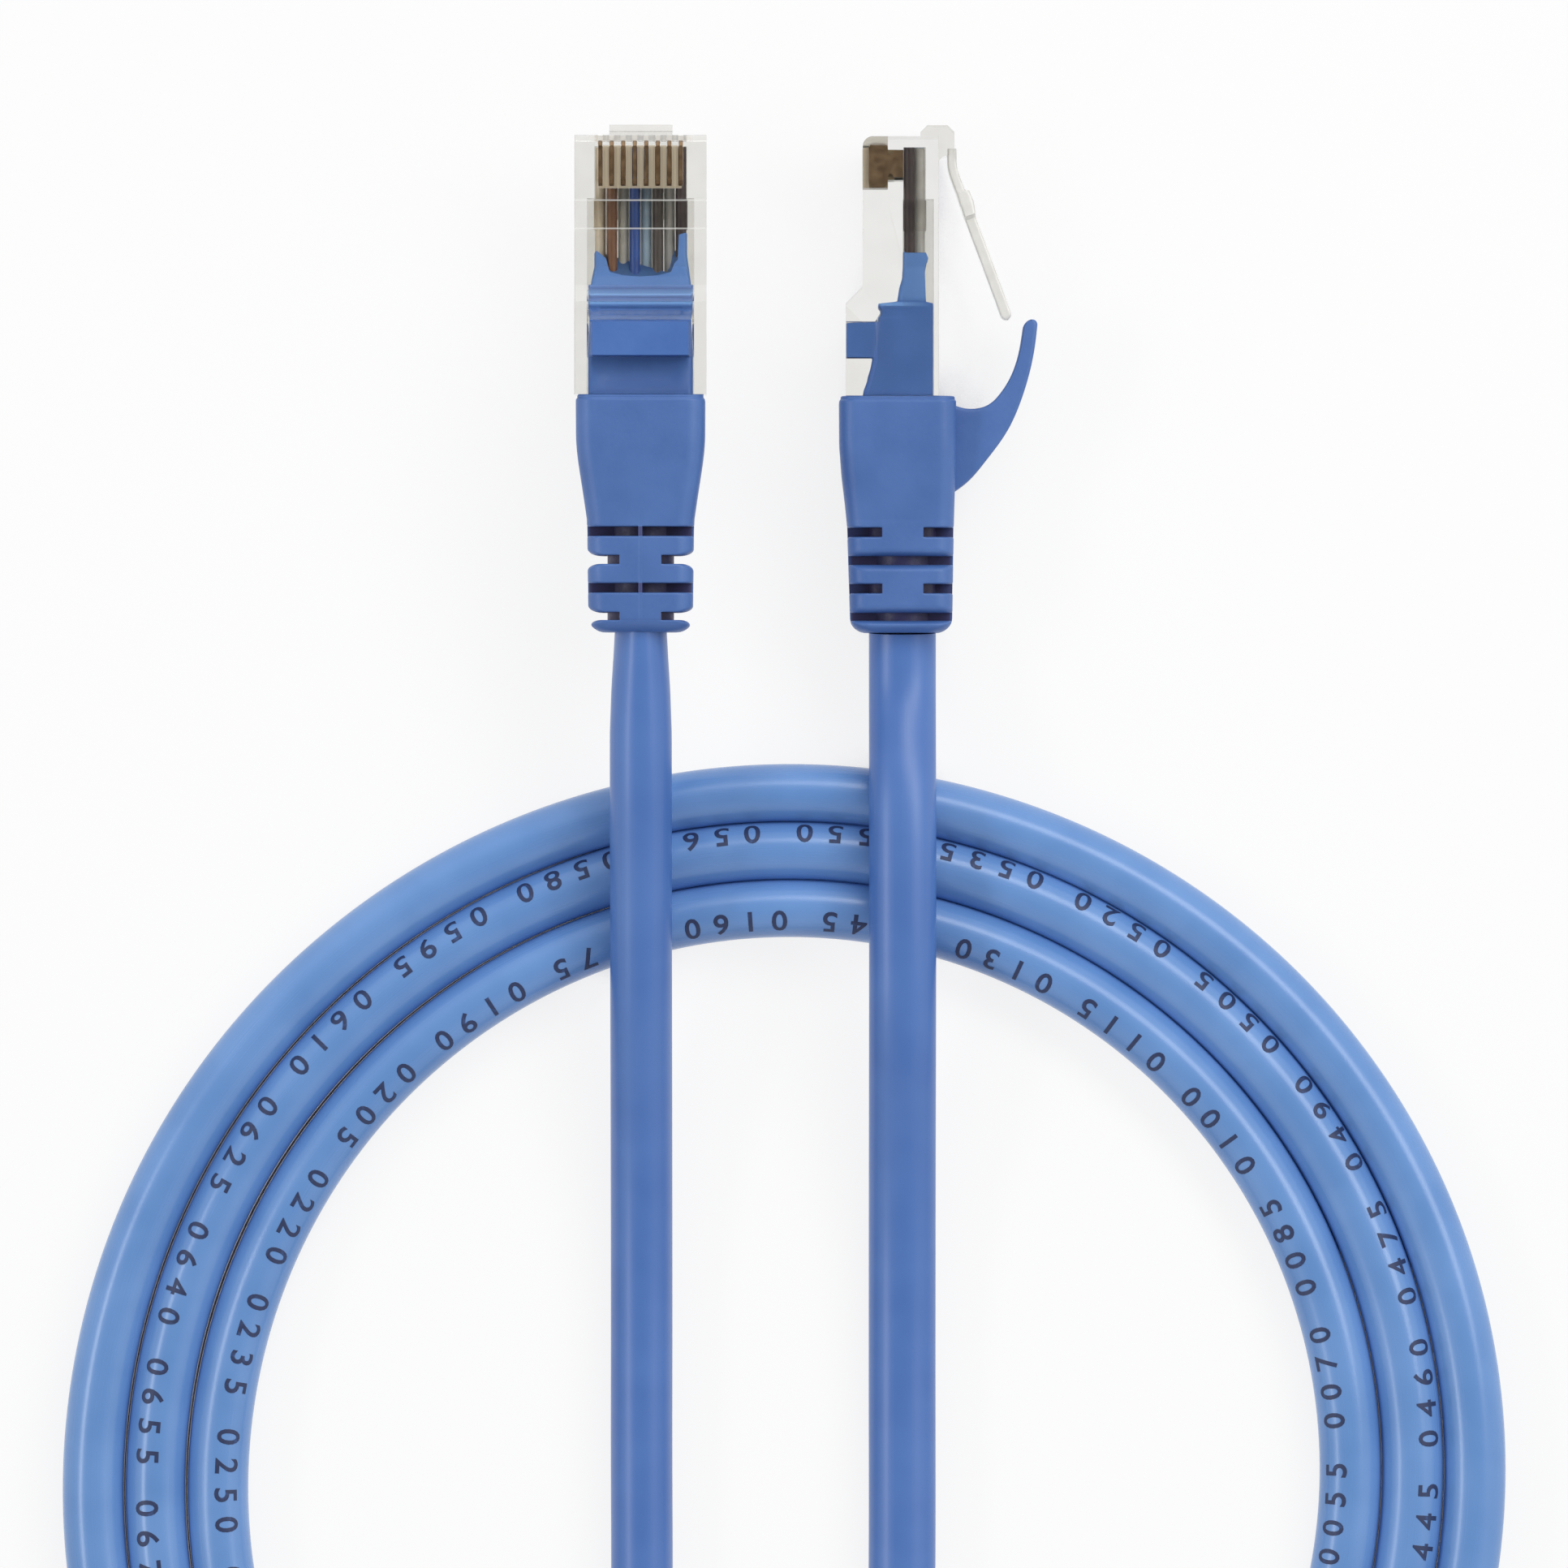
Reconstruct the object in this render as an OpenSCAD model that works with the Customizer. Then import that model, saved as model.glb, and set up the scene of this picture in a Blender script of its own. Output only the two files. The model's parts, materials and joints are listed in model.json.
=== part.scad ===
// Ethernet patch cable. A round four-pair cord, wound in flat turns that lie side by side,
// ends in two modular plugs with eight contacts each, a bend-relief boot and a snag guard.
// Plug A lies with its contacts up, on its guard. Plug B lies on its side.
// Every piece of a plug is drawn in the plug's own axes: the origin is the cable's axis at
// the boot's rear face, +Y is the way the plug goes into a jack and +Z is the contact side.

/* [Cable] */
// Outer diameter of the jacket
cable_d = 5.5; // [5.2:0.1:5.8]
// Diameter of one insulated wire
wire_d = 0.96; // [0.86:0.02:0.98]
// Thickness of the separator's arms
separator_t = 0.2; // [0.1:0.05:0.3]
// Gap between the wires and what encloses them
core_gap = 0.06; // [0.03:0.01:0.1]

/* [Coil] */
// Centre-line radius where the innermost turn begins
coil_start_r = 48.2; // [46:0.2:50]
// Gap between turns, from jacket to jacket
turn_gap = 0.05; // [0.05:0.05:0.5]
// Angle at which the innermost turn begins
coil_start_angle = -60; // [-75:15:-60]
// Steps of the whole spiral, of which 24 make one turn
coil_steps = 66; // [62:1:66]
// Share of the cable's radius left under the axis where the turns rest
rest_cut = 0.8; // [0.75:0.01:0.85]

/* [Housing] */
// Width of the housing
housing_w = 11.68; // [11.4:0.02:12]
// Length of the housing, from the boot to the nose
housing_len = 23; // [22:0.5:25]
// Height of the nose section, which enters the jack
nose_h = 6.75; // [6.4:0.05:6.8]
// Depth of the latch-side face below the cable's axis
face_drop = 3.2; // [3.1:0.05:3.4]
// Rise of the thick rear section above the nose section
rear_rise = 1.5; // [1:0.1:1.8]
// Length of the thick rear section
rear_len = 8.2; // [7.5:0.1:9]
// Length of the slope from the rear section to the nose section
slope_len = 1.5; // [0.8:0.1:2.5]
// Radius of the nose's upper edge
nose_r = 0.9; // [0.4:0.1:1.2]
// Thickness of the side walls
side_wall = 1.1; // [0.9:0.05:1.3]
// Thickness of the latch-side wall
floor_wall = 0.45; // [0.35:0.05:0.6]
// Thickness of the nose wall in front of the wires
nose_wall = 0.95; // [0.7:0.05:1]
// Width of the window over the inner mould
window_w = 9; // [7.5:0.1:9]
// Length of the window along the plug
window_len = 3.3; // [2.5:0.1:3.6]
// Distance from the boot to the window
window_back = 3.3; // [2.8:0.1:3.6]

/* [Contacts] */
// Spacing of the contacts
contact_pitch = 1.02; // [1:0.01:1.04]
// Thickness of a contact blade
contact_t = 0.35; // [0.25:0.05:0.4]
// Length of a contact's head along the plug
contact_len = 4; // [3.6:0.1:4.2]
// Height of a contact's head
contact_head_h = 1.7; // [1.4:0.05:1.8]
// Depth of the contacts below the housing's face
contact_recess = 0.53; // [0.45:0.01:0.7]
// Distance from the nose to the contacts
contact_set_back = 0.5; // [0.4:0.05:0.8]
// Length of a contact's stem along the plug
stem_len = 2; // [1.6:0.1:2.2]
// Length of a contact's foot along the plug, over the wire
foot_len = 2.6; // [2.3:0.1:3]
// Height of a contact's foot above its points
foot_h = 0.75; // [0.6:0.05:0.9]
// Corner chamfer of a contact's head
contact_chamfer = 0.35; // [0.1:0.05:0.5]

/* [Wires in the plug] */
// Height of the upper row of wires from the cable's axis, negative on the latch side
upper_row_z = -0.6; // [-0.65:0.05:-0.5]
// Distance from the upper row of wires to the lower row
row_drop = 0.9; // [0.8:0.05:0.95]
// Length of the separator past the boot
separator_out = 3; // [2.5:0.1:3.2]
// Length over which the wires move to the spacing of the contacts
sort_len = 3.5; // [3.2:0.1:4]
// Length over which the wires part into their two rows
row_len = 4; // [3.5:0.1:4.4]

/* [Load bar] */
// Length of the load bar along the wires
bar_len = 2.8; // [2:0.1:3.2]
// Gap between the load bar and the contacts
bar_gap = 1.1; // [0.8:0.1:1.5]
// Gap between the load bar and the inner mould
bar_stand_off = 1.9; // [1.2:0.1:2.2]
// Height of the load bar's top above the cable's axis
bar_top = 0.5; // [0.3:0.1:0.8]

/* [Inner mould] */
// Height of the mould above the cable's axis at the boot
mould_rear_h = 3.6; // [3.3:0.1:3.8]
// Height of the mould above the cable's axis over the wires
mould_mid_h = 2.4; // [2.4:0.1:2.8]
// Length of the mould's full-height part
mould_mid_len = 8.4; // [8:0.1:9]
// Narrowing of the mould at its tip, on each side
mould_taper = 0.25; // [0:0.05:0.3]

/* [Boot] */
// Length of the boot
boot_len = 21; // [20:0.5:23]
// Wall of the boot's tail around the cable
boot_wall = 1.85; // [1.5:0.05:2.1]
// Widening of the tail from its rear face to its front
tail_taper = 0.35; // [0:0.05:0.6]
// Length of the slotted tail
tail_len = 10.2; // [9.8:0.1:10.6]
// Length of the boot's front block
block_len = 4.3; // [3.5:0.1:5]
// Rise of the front block over the housing on the contact side
block_rise = 0.6; // [0.5:0.1:1.2]
// Drop of the front block under the housing on the latch side
block_drop = 1.7; // [1.4:0.1:2]
// Step in from the housing's side to the front block's side
block_inset = 0.14; // [0.1:0.02:0.4]
// Radius of the boot's long edges
boot_edge_r = 1.6; // [1:0.1:2]
// Width of a flex slot
slot_w = 0.9; // [0.6:0.1:1.2]
// Spacing of the flex slots
slot_pitch = 2.5; // [2.2:0.1:2.6]
// Distance from the boot's rear face to the middle of the first slot
slot_start = 1.4; // [1.2:0.1:1.6]
// Width of the webs that join the ribs
web_w = 3.7; // [3:0.1:4.2]

/* [Latch] */
// Length of the latch from its hinge to its free end
latch_len = 14.7; // [14:0.1:15.2]
// Angle of the free latch to the cable's axis
latch_angle = 21.3; // [20:0.1:23]
// Thickness of the latch arm
latch_t = 1.1; // [0.9:0.05:1.3]
// Width of the latch arm
latch_w = 3.25; // [2.8:0.05:3.6]
// Width of the latch's locking shoulders
shoulder_w = 6.1; // [5.6:0.05:6.3]
// Distance from the hinge to the shoulders
shoulder_start = 2.7; // [2.4:0.1:3.2]
// Length of the shoulders along the latch
shoulder_len = 2.2; // [1.8:0.1:2.6]
// Thickness of the latch's neck
neck_t = 0.8; // [0.6:0.05:0.9]
// Width of the neck and of the latch's root block
neck_w = 5.6; // [5:0.1:6]
// Radius of the rolled end that turns in the root block
latch_roll_r = 0.5; // [0.4:0.05:0.6]
// Distance from the nose back to the latch's hinge
hinge_back = 2.4; // [2:0.1:3]
// How far the root block stands out past the nose
root_out = 1.1; // [0.6:0.1:1.4]
// Height of the root block above the cable's axis, negative on the latch side
root_top_z = -1.6; // [-2:0.1:-1.2]

/* [Guard] */
// Width of the snag guard
guard_w = 6; // [5:0.1:7]
// Distance from the boot's rear face to the guard's bend
guard_bend_y = 17; // [16.6:0.1:17.4]
// Radius of the guard's rolled end at the bend
guard_roll_r = 1.15; // [1:0.05:1.2]
// Thickness of the guard at its tip
guard_tip_t = 1.3; // [1:0.05:1.5]
// How far the guard's tip passes the latch's free end
guard_overlap = 1; // [0.5:0.1:1.5]
// Gap between the free latch and the guard
guard_gap = 0.85; // [0.7:0.05:1.2]
// Distance from the boot's rear face to where the guard leaves the tail
guard_root_y = 12.6; // [11.5:0.1:13.5]
// Drop of the guard's wedge below the axis of its bend
guard_wedge_drop = 0.7; // [0.5:0.1:0.9]
// How far the rolled end stands out from the guard's strip
guard_roll_step = 0.15; // [0.1:0.05:0.2]
// How far the curve of the strip is led forward from its bend
guard_lead_y = 1.5; // [1:0.1:2]
// How far the curve of the strip is led down from its bend
guard_lead_z = 2.7; // [2.2:0.1:3]
// How far the curve of the strip is led level into its tip
guard_level = 5.8; // [5:0.1:6.5]

/* [Fits] */
// Gap between pieces that are pressed or moulded together
fit = 0.05; // [0.02:0.01:0.08]
// Gap around a rolled end that turns
turn_clear = 0.3; // [0.3:0.05:0.4]

/* [Placement] */
// Distance between the two plugs' axes
plug_pitch = 23.24; // [22:0.02:25]

/* [Hidden] */
plug_ids = ["a", "b"];
pins = [1:8];
single_parts = ["housing", "load_bar", "inner_mould", "boot", "jacket_end", "separator",
    "latch", "guard"];
cable_parts = ["cable_coil", "cable_leg_a", "cable_leg_b"];

// Colours, in the order of the pins for the wires
cable_colour = "#5578B8";
clear_colour = "#E5E4DF";
gold_colour = "#9A7B4C";
separator_colour = "#F2F0EA";
wire_colours = ["#E8D9C4", "#B0682F", "#D5E2D0", "#35559B", "#C9D6EC", "#2F5C3D",
    "#DCCFC4", "#4A3026"];

// Cable
cable_r = cable_d / 2;
wire_r = wire_d / 2;
wire_ring_r = (wire_r + separator_t / 2 + core_gap / 2) / sin(22.5);
core_r = wire_ring_r + wire_r + core_gap;

// Housing
boot_front_y = boot_len;
nose_y = boot_front_y + housing_len;
nose_top_z = nose_h - face_drop;
rear_top_z = nose_top_z + rear_rise;
cavity_w = housing_w - 2 * side_wall;
cavity_floor_z = floor_wall - face_drop;
window_y = boot_front_y + window_back;
root_round = 0.6;                   // corner cuts of the latch's root block

// Contacts and the two staggered rows of wires; even pins lie in the upper row
lower_row_z = upper_row_z - row_drop;
contact_front_y = nose_y - contact_set_back;
contact_back_y = contact_front_y - contact_len;
contact_mid_y = (contact_front_y + contact_back_y) / 2;
contact_top_z = nose_top_z - contact_recess;
shelf_z = contact_top_z - contact_head_h;
row_w = 7 * contact_pitch + wire_d;
channel_w = row_w + 2 * core_gap;
channel_top_z = upper_row_z + wire_r + core_gap;
channel_floor_z = lower_row_z - wire_r - core_gap;
channel_end_y = nose_y - nose_wall;
wire_end_y = channel_end_y - core_gap;

// Inner mould, load bar and the wires' spread between jacket and rows
mould_w = cavity_w - 2 * fit;
mould_floor_z = cavity_floor_z + fit;
bar_y = contact_back_y - bar_gap - bar_len;
mould_tip_y = bar_y - bar_stand_off;
spread_y = boot_front_y + separator_out;
sorted_y = spread_y + sort_len;
rows_y = sorted_y + row_len;
pocket_h = core_r - 2 * core_gap;   // half height of the mould's pocket where they spread

// Boot
tail_w = cable_d + 2 * boot_wall;
block_w = housing_w - 2 * block_inset;
block_top_z = rear_top_z + block_rise;
block_floor_z = -face_drop - block_drop;
block_y = boot_front_y - block_len;
edge_steps = 6;
widening_steps = 6;

// Latch
hinge_y = nose_y - hinge_back;
hinge_z = -face_drop - turn_clear - latch_roll_r;
latch_tip_y = hinge_y - latch_len * cos(latch_angle);
latch_tip_z = hinge_z - latch_len * sin(latch_angle) - latch_t / 2 * cos(latch_angle);
root_floor_z = hinge_z - root_round;

// Guard: a strip on a cubic curve from its bend to its tip
guard_reach = guard_gap + guard_tip_t - latch_tip_z;
guard_bend_z = block_floor_z - turn_clear - guard_roll_r;
guard_tip = [latch_tip_y + guard_overlap - guard_tip_t / 2, guard_tip_t / 2 - guard_reach];
guard_curve = [[guard_bend_y, guard_bend_z],
    [guard_bend_y + guard_lead_y, guard_bend_z - guard_lead_z],
    [guard_tip.x - guard_level, guard_tip.y], guard_tip];
guard_root_half = guard_roll_r - guard_roll_step;
guard_steps = 16;

// Placement: the two plugs' box is centred on the origin and stands on z = 0
root_end_y = nose_y + root_out;
exit_y = -root_end_y / 2;
plug_a_x = (housing_w / 2 - plug_pitch - guard_reach) / 2;
plug_b_x = plug_a_x + plug_pitch;
exit_a = [plug_a_x, exit_y, guard_reach];
exit_b = [plug_b_x, exit_y, housing_w / 2];

// Coil: an even spiral about coil_centre, straight for one diameter at each end
coil_centre = [-0.6, -98];
steps_per_turn = 24;
step_angle = 360 / steps_per_turn;
turn_pitch = cable_d + turn_gap;
coil_z = rest_cut * cable_r;
coil_end_angle = coil_start_angle + coil_steps * step_angle;
function spiral_r(angle) = coil_start_r + turn_pitch * (angle - coil_start_angle) / 360;
function spiral_point(angle) = [coil_centre.x + spiral_r(angle) * cos(angle),
    coil_centre.y + spiral_r(angle) * sin(angle), coil_z];
function heading(angle) = [-sin(angle), cos(angle), 0];
inner_heading = heading(coil_start_angle - step_angle / 2);
outer_heading = heading(coil_end_angle);
coil_inner_end = spiral_point(coil_start_angle) - cable_d * inner_heading;
coil_outer_end = spiral_point(coil_end_angle) + cable_d * outer_heading;
coil_route = concat([coil_inner_end],
    [for (i = [0:coil_steps]) spiral_point(coil_start_angle + i * step_angle)],
    [coil_outer_end]);

// The legs' routes between the plugs and the coil's two ends, chosen by hand so that the legs
// cross over the turns and each other. The straight stretches are given as y and z.
function lying(point) = [point.x, point.y, cable_r];
leg_a_straight = [[-36, 11.6], [-46, 9.8], [-54, 8.3], [-61, 6.4], [-68, 4.6], [-76, 3.3],
    [-86, 2.8], [-98, cable_r], [-110, cable_r]];
leg_a_bend = [[-14.6, -122.8], [-12.2, -132.9], [-5.4, -140.7], [3.7, -144.7]];
leg_a_route = concat([exit_a, exit_a - [0, cable_d, 0]],
    [for (p = leg_a_straight) [exit_a.x, p.x, p.y]], [for (p = leg_a_bend) lying(p)],
    [lying(coil_inner_end - cable_d * inner_heading), lying(coil_inner_end)]);
leg_b_bend = [[-45.8, -144, 3.7], [-40.2, -148.5, 5.8], [-33.5, -151.8, 7.8],
    [-25.9, -153.5, 8.7], [-18, -153.4, 8.9], [-10.2, -151.3, 8.9], [-3, -147, 8.8],
    [3, -141, 8.2], [7, -133, 6]];
leg_b_straight = [[-124, 4], [-114, 2.9], [-104, cable_r], [-92, cable_r], [-82, 2.9],
    [-74, 3.8], [-66, 5.6], [-59, 7.6], [-52, 8.7], [-44, 8.9], [-36, 8.3]];
leg_b_route = concat([lying(coil_outer_end), lying(coil_outer_end + cable_d * outer_heading)],
    leg_b_bend, [for (p = leg_b_straight) [exit_b.x, p.x, p.y]],
    [exit_b - [0, cable_d, 0], exit_b]);
leg_sides = 8;

// Least gap between the coil's turns, measured between the points of rings a turn apart
coil_rings = tube_rings(coil_route, coil_outline());
coil_gap_found = min([for (i = [0:len(coil_rings) - 1])
    for (j = [i + steps_per_turn - 2:min(i + steps_per_turn + 2, len(coil_rings) - 1)])
        for (p = coil_rings[i]) for (q = coil_rings[j]) norm(p - q)]);
echo(coil_least_gap = coil_gap_found);

// Swept tubes. A ring's outline is given across the cable and up.
function unit(v) = v / norm(v);
function along(route, i) = unit(route[min(i + 1, len(route) - 1)] - route[max(i - 1, 0)]);
function across(direction) = unit(cross(direction, [0, 0, 1]));
function tube_rings(route, outline) = [for (i = [0:len(route) - 1])
    let (side = across(along(route, i)), up = cross(side, along(route, i)))
        [for (p = outline) route[i] + p.x * side + p.y * up]];
function round_outline(r, sides) = [for (i = [0:sides - 1])
    r * [cos((i + 0.5) * 360 / sides), sin((i + 0.5) * 360 / sides)]];
function coil_outline() = let (flank = cos(30) * cable_r, cut = 2 * (1 - rest_cut) * flank)
    [[0, cable_r], [-flank, cable_r / 2], [-flank, -cable_r / 2], [-cut, -coil_z],
    [cut, -coil_z], [flank, -cable_r / 2], [flank, cable_r / 2]];

// Skins a list of rings of points, each ring anticlockwise seen from the end of the list
module loft(rings) {
    n = len(rings[0]);
    last = (len(rings) - 1) * n;
    sides = [for (i = [0:len(rings) - 2]) for (k = [0:n - 1])
        let (a = i * n + k, b = i * n + (k + 1) % n)
            each [[a, b + n, a + n], [a, b, b + n]]];
    caps = [for (k = [1:n - 2]) each [[0, k + 1, k], [last, last + k, last + k + 1]]];
    polyhedron([for (ring = rings) each ring], concat(sides, caps));
}

module tube(route, outline) {
    loft(tube_rings(route, outline));
}

// Extrudes a shape drawn in the plug's side view, +Y right and +Z up, evenly about x = 0
module side_extrude(w) {
    rotate([90, 0, 90]) linear_extrude(w, center = true) children();
}

// A round bar across the plug, centred on x = 0
module cross_bar(y, z, r, w) {
    translate([-w / 2, y, z]) rotate([0, 90, 0]) cylinder(r = r, h = w, $fn = 48);
}

// A round bar along the plug
module long_bar(x, z, r, y0, y1) {
    translate([x, y0, z]) rotate([-90, 0, 0]) cylinder(r = r, h = y1 - y0, $fn = 48);
}

function wire_x(pin) = (pin - 4.5) * contact_pitch;
function wire_z(pin) = pin % 2 == 0 ? upper_row_z : lower_row_z;

// Angles of the wires round the separator: pair 1-2 left, 4-5 up, 7-8 right, 3-6 down
function ring_angle(pin) = [202.5, 157.5, 247.5, 112.5, 67.5, 292.5, 337.5, 22.5][pin - 1];
function ring_x(pin) = wire_ring_r * cos(ring_angle(pin));
function ring_z(pin) = wire_ring_r * sin(ring_angle(pin));
function wire_route(pin) = [[ring_x(pin), 0, ring_z(pin)],
    [ring_x(pin), spread_y, ring_z(pin)], [wire_x(pin), sorted_y, ring_z(pin)],
    [wire_x(pin), rows_y, wire_z(pin)], [wire_x(pin), wire_end_y, wire_z(pin)]];

module wire(pin) {
    color(wire_colours[pin - 1]) tube(wire_route(pin), round_outline(wire_r, 8));
}

module separator() {
    arm = 2 * (core_r - core_gap);
    color(separator_colour) translate([0, spread_y, 0]) rotate([90, 0, 0])
        linear_extrude(spread_y) union() {
            rotate(45) square([arm, separator_t], center = true);
            rotate(-45) square([arm, separator_t], center = true);
        }
}

module jacket_end() {
    color(cable_colour) difference() {
        long_bar(0, 0, cable_r, 0, boot_front_y);
        long_bar(0, 0, core_r, -1, boot_front_y + 1);
    }
}

// Odd pins have a longer tine, which reaches down between the upper wires
module contact(pin) {
    tine_z = wire_z(pin) + wire_r + core_gap;
    color(gold_colour) translate([wire_x(pin), 0, 0]) side_extrude(contact_t) polygon([
        [contact_back_y, shelf_z], [contact_mid_y - stem_len / 2, shelf_z],
        [contact_mid_y - stem_len / 2, tine_z + foot_h],
        [contact_mid_y - foot_len / 2, tine_z + foot_h],
        [contact_mid_y - foot_len / 2, tine_z + contact_chamfer],
        [contact_mid_y - foot_len / 3, tine_z], [contact_mid_y, tine_z + contact_chamfer],
        [contact_mid_y + foot_len / 3, tine_z],
        [contact_mid_y + foot_len / 2, tine_z + contact_chamfer],
        [contact_mid_y + foot_len / 2, tine_z + foot_h],
        [contact_mid_y + stem_len / 2, tine_z + foot_h],
        [contact_mid_y + stem_len / 2, shelf_z], [contact_front_y, shelf_z],
        [contact_front_y, contact_top_z - contact_chamfer],
        [contact_front_y - contact_chamfer, contact_top_z],
        [contact_back_y + contact_chamfer, contact_top_z],
        [contact_back_y, contact_top_z - contact_chamfer]]);
}

module contact_slots() {
    slot_t = contact_t + 2 * fit;
    stem_slot = foot_len + 2 * fit;
    for (pin = pins) translate([wire_x(pin) - slot_t / 2, 0, 0]) {
        translate([0, contact_back_y - fit, shelf_z]) cube([slot_t, housing_len, nose_h]);
        translate([0, contact_mid_y - stem_slot / 2, channel_top_z - fit])
            cube([slot_t, stem_slot, nose_h]);
    }
}

// The inner mould's side view, grown by g where it stands in its cavity
module mould_side(g) {
    polygon([[boot_front_y, mould_floor_z - g], [mould_tip_y + g, mould_floor_z - g],
        [mould_tip_y + g, bar_top + g], [boot_front_y + mould_mid_len, mould_mid_h + g],
        [window_y, mould_mid_h + g], [boot_front_y, mould_rear_h + g]]);
}

module window_block(g, top_z) {
    translate([-window_w / 2 - g, window_y - g, 0])
        cube([window_w + 2 * g, window_len + 2 * g, top_z]);
}

module inner_mould() {
    taper_y = boot_front_y + mould_mid_len;
    tip_w = mould_w - 2 * mould_taper;
    color(cable_colour) difference() {
        intersection() {
            union() {
                side_extrude(mould_w) mould_side(0);
                window_block(-fit, rear_top_z);
            }
            linear_extrude(4 * housing_w, center = true) polygon([
                [-mould_w / 2, boot_front_y], [-mould_w / 2, taper_y],
                [-tip_w / 2, mould_tip_y], [tip_w / 2, mould_tip_y],
                [mould_w / 2, taper_y], [mould_w / 2, boot_front_y]]);
        }
        long_bar(0, 0, core_r, boot_front_y - 1, spread_y + 1);
        side_extrude(channel_w) polygon([
            [spread_y - core_gap, -pocket_h], [sorted_y, -pocket_h],
            [mould_tip_y + 1, channel_floor_z], [mould_tip_y + 1, channel_top_z],
            [rows_y, channel_top_z + core_gap], [sorted_y, pocket_h],
            [spread_y - core_gap, pocket_h]]);
    }
}

module load_bar() {
    color(clear_colour) difference() {
        translate([-mould_w / 2, bar_y, mould_floor_z])
            cube([mould_w, bar_len, bar_top - mould_floor_z]);
        for (pin = pins)
            long_bar(wire_x(pin), wire_z(pin), wire_r + fit, bar_y - 1, bar_y + bar_len + 1);
    }
}

// The block at the nose that the latch hangs from, with the socket of its rolled end
module latch_root() {
    difference() {
        side_extrude(neck_w) polygon([
            [channel_end_y, root_top_z], [root_end_y - root_round, root_top_z],
            [root_end_y, root_top_z - root_round], [root_end_y, root_floor_z + root_round],
            [root_end_y - root_round, root_floor_z], [hinge_y, root_floor_z],
            [hinge_y, -face_drop + fit], [channel_end_y, -face_drop + fit]]);
        cross_bar(hinge_y, hinge_z, latch_roll_r + turn_clear, housing_w);
    }
}

module housing() {
    color(clear_colour) union() {
        difference() {
            side_extrude(housing_w) union() {
                polygon([[boot_front_y, -face_drop], [nose_y, -face_drop],
                    [nose_y, nose_top_z - nose_r], [nose_y - nose_r, nose_top_z - nose_r],
                    [nose_y - nose_r, nose_top_z],
                    [boot_front_y + rear_len + slope_len, nose_top_z],
                    [boot_front_y + rear_len, rear_top_z], [boot_front_y, rear_top_z]]);
                translate([nose_y - nose_r, nose_top_z - nose_r]) circle(r = nose_r, $fn = 48);
            }
            side_extrude(cavity_w) union() {
                mould_side(fit);
                translate([boot_front_y - 1, cavity_floor_z])
                    square([bar_y + bar_len + fit - boot_front_y + 1,
                        bar_top + fit - cavity_floor_z]);
            }
            window_block(0, 2 * rear_top_z);
            translate([-channel_w / 2, mould_tip_y, channel_floor_z])
                cube([channel_w, channel_end_y - mould_tip_y, channel_top_z - channel_floor_z]);
            contact_slots();
        }
        latch_root();
    }
}

// The boot's outline at y, with rounded corners, as a ring of points
function boot_ring(y, w, z0, z1) = [for (corner = [0:3], k = [0:edge_steps])
    let (a = 90 * (corner + k / edge_steps), r = boot_edge_r)
        [(corner == 0 || corner == 3 ? w / 2 - r : r - w / 2) + r * cos(a), y,
        (corner < 2 ? z1 - r : z0 + r) + r * sin(a)]];

// The tail widens to the front block, quickly at first and then less and less
function widening(s) = 0.6 * sin(90 * s) + 0.4 * s;
function widening_ring(s) = let (t = widening(s), w = tail_w + tail_taper)
    boot_ring(tail_len + s * (block_y - tail_len), w + t * (block_w - w),
        -w / 2 + t * (block_floor_z + w / 2), w / 2 + t * (block_top_z - w / 2));

module boot_shell() {
    loft(concat([boot_ring(0, tail_w, -tail_w / 2, tail_w / 2)],
        [for (k = [0:widening_steps]) widening_ring(k / widening_steps)],
        [boot_ring(boot_front_y, block_w, block_floor_z, block_top_z)]));
}

// Slots that let the tail bend: the first and third leave webs above and below the cable,
// the second and fourth leave webs at its sides
module flex_slots() {
    for (k = [0:3], side = [-1, 1]) {
        slot_y = slot_start + k * slot_pitch - slot_w / 2;
        reach = [tail_w, slot_w, 2 * tail_w];
        turn = k % 2 == 0 ? 0 : 90;
        rotate([0, turn, 0]) translate([side * (web_w + tail_w) / 2, slot_y + slot_w / 2, 0])
            cube(reach, center = true);
    }
}

// The wedge under the boot that the guard's rolled end turns in
module guard_root() {
    outer_z = guard_bend_z - guard_wedge_drop;
    outer_y = guard_bend_y - guard_roll_r - turn_clear;
    difference() {
        side_extrude(guard_w) polygon([[guard_root_y, block_floor_z + boot_edge_r],
            [guard_root_y, -tail_w / 2], [outer_y, outer_z], [guard_bend_y, guard_bend_z],
            [guard_bend_y, block_floor_z + boot_edge_r]]);
        cross_bar(guard_bend_y, guard_bend_z, guard_roll_r + turn_clear, housing_w);
    }
}

module boot() {
    color(cable_colour) difference() {
        union() {
            boot_shell();
            guard_root();
        }
        long_bar(0, 0, cable_r + fit, -1, boot_front_y + 1);
        flex_slots();
    }
}

module latch() {
    color(clear_colour) translate([0, hinge_y, hinge_z]) {
        cross_bar(0, 0, latch_roll_r, neck_w);
        rotate([latch_angle, 0, 0]) {
            translate([-neck_w / 2, -shoulder_start, -neck_t / 2])
                cube([neck_w, shoulder_start, neck_t]);
            translate([-shoulder_w / 2, -shoulder_start - shoulder_len, -latch_t / 2])
                cube([shoulder_w, shoulder_len, latch_t]);
            translate([-latch_w / 2, -latch_len, -latch_t / 2])
                cube([latch_w, latch_len - shoulder_start, latch_t]);
        }
    }
}

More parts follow.
